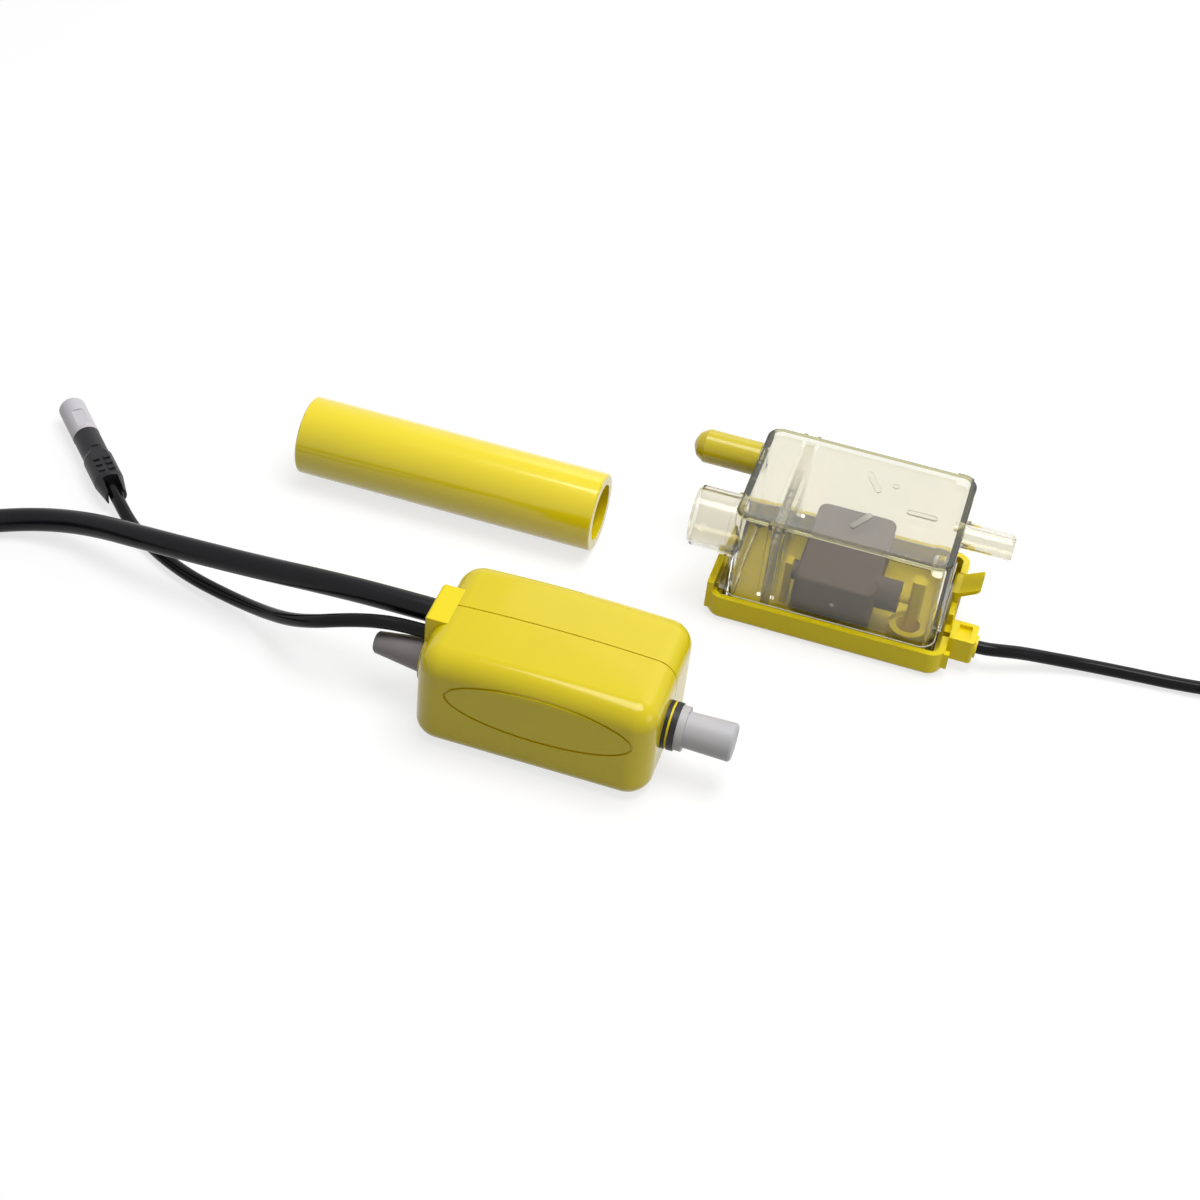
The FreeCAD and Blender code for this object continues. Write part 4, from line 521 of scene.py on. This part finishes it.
# The tank's second colour is the painted olive shade along the tops of its walls
add("clear_plastic", tank_plastic, colour=(0.88, 0.86, 0.77), edge_colour=(0.27, 0.25, 0.07),
    roughness=0.02, ior=1.2, haze=0.03, lamp_share=0.2)
# A pale colour for the bead round the tank's foot: a painted highlight
add("tank_bead", moulded, colour=(0.78, 0.76, 0.60), roughness=0.25, variation=0.04)
add("filter_plastic", screen_plastic, colour=(0.90, 0.885, 0.78), roughness=0.05, ior=1.13,
    haze=0.1, lamp_share=0.5)
add("float_plastic", moulded, colour=(0.140, 0.106, 0.100), roughness=0.5, variation=0.08, shine=0.3)
add("light_cap", moulded, colour=(0.56, 0.55, 0.57), roughness=0.45, variation=0.04)
add("grey_cap", moulded, colour=(0.25, 0.222, 0.227), roughness=0.42, variation=0.06)
add("connector_shell", moulded, colour=(0.66, 0.64, 0.67), roughness=0.38, variation=0.04, grain=0.000008)
add("connector_body", rubbery, colour=(0.014, 0.014, 0.016), roughness=0.4, shine=0.25)
add("mains_sheath", rubbery, colour=(0.005, 0.005, 0.0065), roughness=0.27, grain=0.000004, shine=0.2)
add("lead_sheath", rubbery, colour=(0.005, 0.005, 0.006), roughness=0.17, grain=0.000004, shine=0.15)
add("brown_core", moulded, colour=(0.16, 0.055, 0.02), roughness=0.35)
add("blue_core", moulded, colour=(0.02, 0.10, 0.42), roughness=0.35)
add("green_core", striped_core, stripe_z=0.01515)
add("tinned_metal", metal, colour=(0.72, 0.72, 0.71), roughness=0.28)
add("black_rubber", rubbery, colour=(0.015, 0.013, 0.014), roughness=0.42)
add("fitting_plastic", moulded, colour=(0.05, 0.05, 0.052), roughness=0.4)
add("steel", metal, colour=(0.58, 0.58, 0.60), roughness=0.3)
add("spring_steel", metal, colour=(0.55, 0.55, 0.56), roughness=0.25)
add("bobbin_plastic", moulded, colour=(0.72, 0.71, 0.66), roughness=0.45)
add("copper", wound_copper)
add("board", circuit_board)
add("capacitor", moulded, colour=(0.55, 0.30, 0.04), roughness=0.3)
add("component_black", moulded, colour=(0.02, 0.02, 0.022), roughness=0.4)
add("potting", rubbery, colour=(0.02, 0.02, 0.022), roughness=0.55)
add("magnet", metal, colour=(0.55, 0.55, 0.56), roughness=0.22)
add("white_plug", moulded, colour=(0.82, 0.81, 0.78), roughness=0.4)
add("valve_rubber", rubbery, colour=(0.12, 0.04, 0.02), roughness=0.5)


def finish_piece(piece, name):
    piece.data.materials.clear()
    piece.data.materials.append(FINISHES[name])


# Lamps, floor and backdrop

WHITE = (1, 1, 1, 1)
WORLD_LIGHT = 0.27
LAMP_TARGET = (0, 0.03, 0)
LAMPS = [  # name, place, size, power
    ("top_lamp", (0.10, 0.10, 0.70), (0.42, 0.42), 3.4),
    ("back_lamp", (0.18, 0.75, 0.60), (0.9, 0.35), 1.2),
    ("right_lamp", (0.80, -0.05, 0.30), (0.4, 0.4), 1.0)]
FLOOR_SIZE = 6.0
FLOOR_DROP = 0.0004
FLOOR_GREY = (0.34, 0.34, 0.34)
FLOOR_GLOW = 0.73


def soft_lamp(name, place, size, power):
    data = bpy.data.lights.new(name, "AREA")
    data.shape = "RECTANGLE"
    data.size, data.size_y = size
    data.energy = power
    lamp = bpy.data.objects.new(name, data)
    lamp.location = place
    lamp.rotation_euler = (Vector(LAMP_TARGET) - Vector(place)).to_track_quat("-Z", "Y").to_euler()
    bpy.context.scene.collection.objects.link(lamp)


def set_studio():
    scene = bpy.context.scene
    scene.view_settings.view_transform = "Standard"
    scene.world = bpy.data.worlds.new("studio")
    sky = Finish(scene.world)
    strength = WORLD_LIGHT + (1 - WORLD_LIGHT) * sky.seen()
    backdrop = sky.node("ShaderNodeBackground", {}, {"Color": WHITE, "Strength": strength})
    sky.done(backdrop, "ShaderNodeOutputWorld")
    for lamp in LAMPS:
        soft_lamp(*lamp)


def make_floor():
    bpy.ops.mesh.primitive_plane_add(size=FLOOR_SIZE, location=(0, 0, -FLOOR_DROP))
    floor = bpy.context.object
    floor.name = "floor"
    bpy.ops.object.transform_apply(location=True, rotation=True, scale=True)
    finish = new_finish("floor")
    base = finish.mottled(finish.noise(finish.place(), scale=40), shade(FLOOR_GREY, 0.99), FLOOR_GREY)
    paper = finish.node("ShaderNodeBsdfDiffuse", {}, {"Color": base})
    glow = finish.node("ShaderNodeEmission", {}, {"Color": WHITE, "Strength": finish.seen() * FLOOR_GLOW})
    floor.data.materials.append(finish.done(finish.node("ShaderNodeAddShader", {}, {0: paper, 1: glow})))


# Making the scene

bpy.ops.object.select_all(action="DESELECT")
set_camera()
set_studio()
make_floor()

mains_coil = coil_points(MAINS_COIL_CENTRE, MAINS_RADIUS, layers=2, way=1)
mains_points = MAINS_ROUTE + mains_coil + MAINS_TAIL
reservoir_coil = coil_points(RESERVOIR_COIL_CENTRE, LEAD_RADIUS, layers=3, way=-1)
reservoir_points = RESERVOIR_LEAD_ROUTE + reservoir_coil + RESERVOIR_LEAD_TAIL
mains = cable("mains_flex", mains_points, MAINS_RADIUS)
pump_lead = cable("pump_flex", PUMP_LEAD_ROUTE, LEAD_RADIUS)
reservoir_lead = cable("reservoir_flex", reservoir_points, LEAD_RADIUS)
for piece, slot in ((mains, "mains_sheath"), (pump_lead, "lead_sheath"), (reservoir_lead, "lead_sheath")):
    finish_piece(piece, slot)
    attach(piece, "root")
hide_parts("mains_cable", "mains_cable_coil")
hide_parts("pump_lead")
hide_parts("reservoir_lead", "reservoir_lead_coil")
line_length(mains_points)
line_length(PUMP_LEAD_ROUTE)
line_length(reservoir_points)

for entry in frame["record"]["subparts"]:
    finish_piece(nodes[entry["node"]], entry["material_slot"])
finish_piece(nodes["overflow_cap"], "overflow_cap")
finish_piece(foot_highlight_bead(), "tank_bead")

piston_joint = next(joint for joint in frame["joints"] if joint["name"] == "piston_slide")
for rule in piston_joint["deforming_nodes"]:
    finish_piece(sprung(rule), "spring_steel")
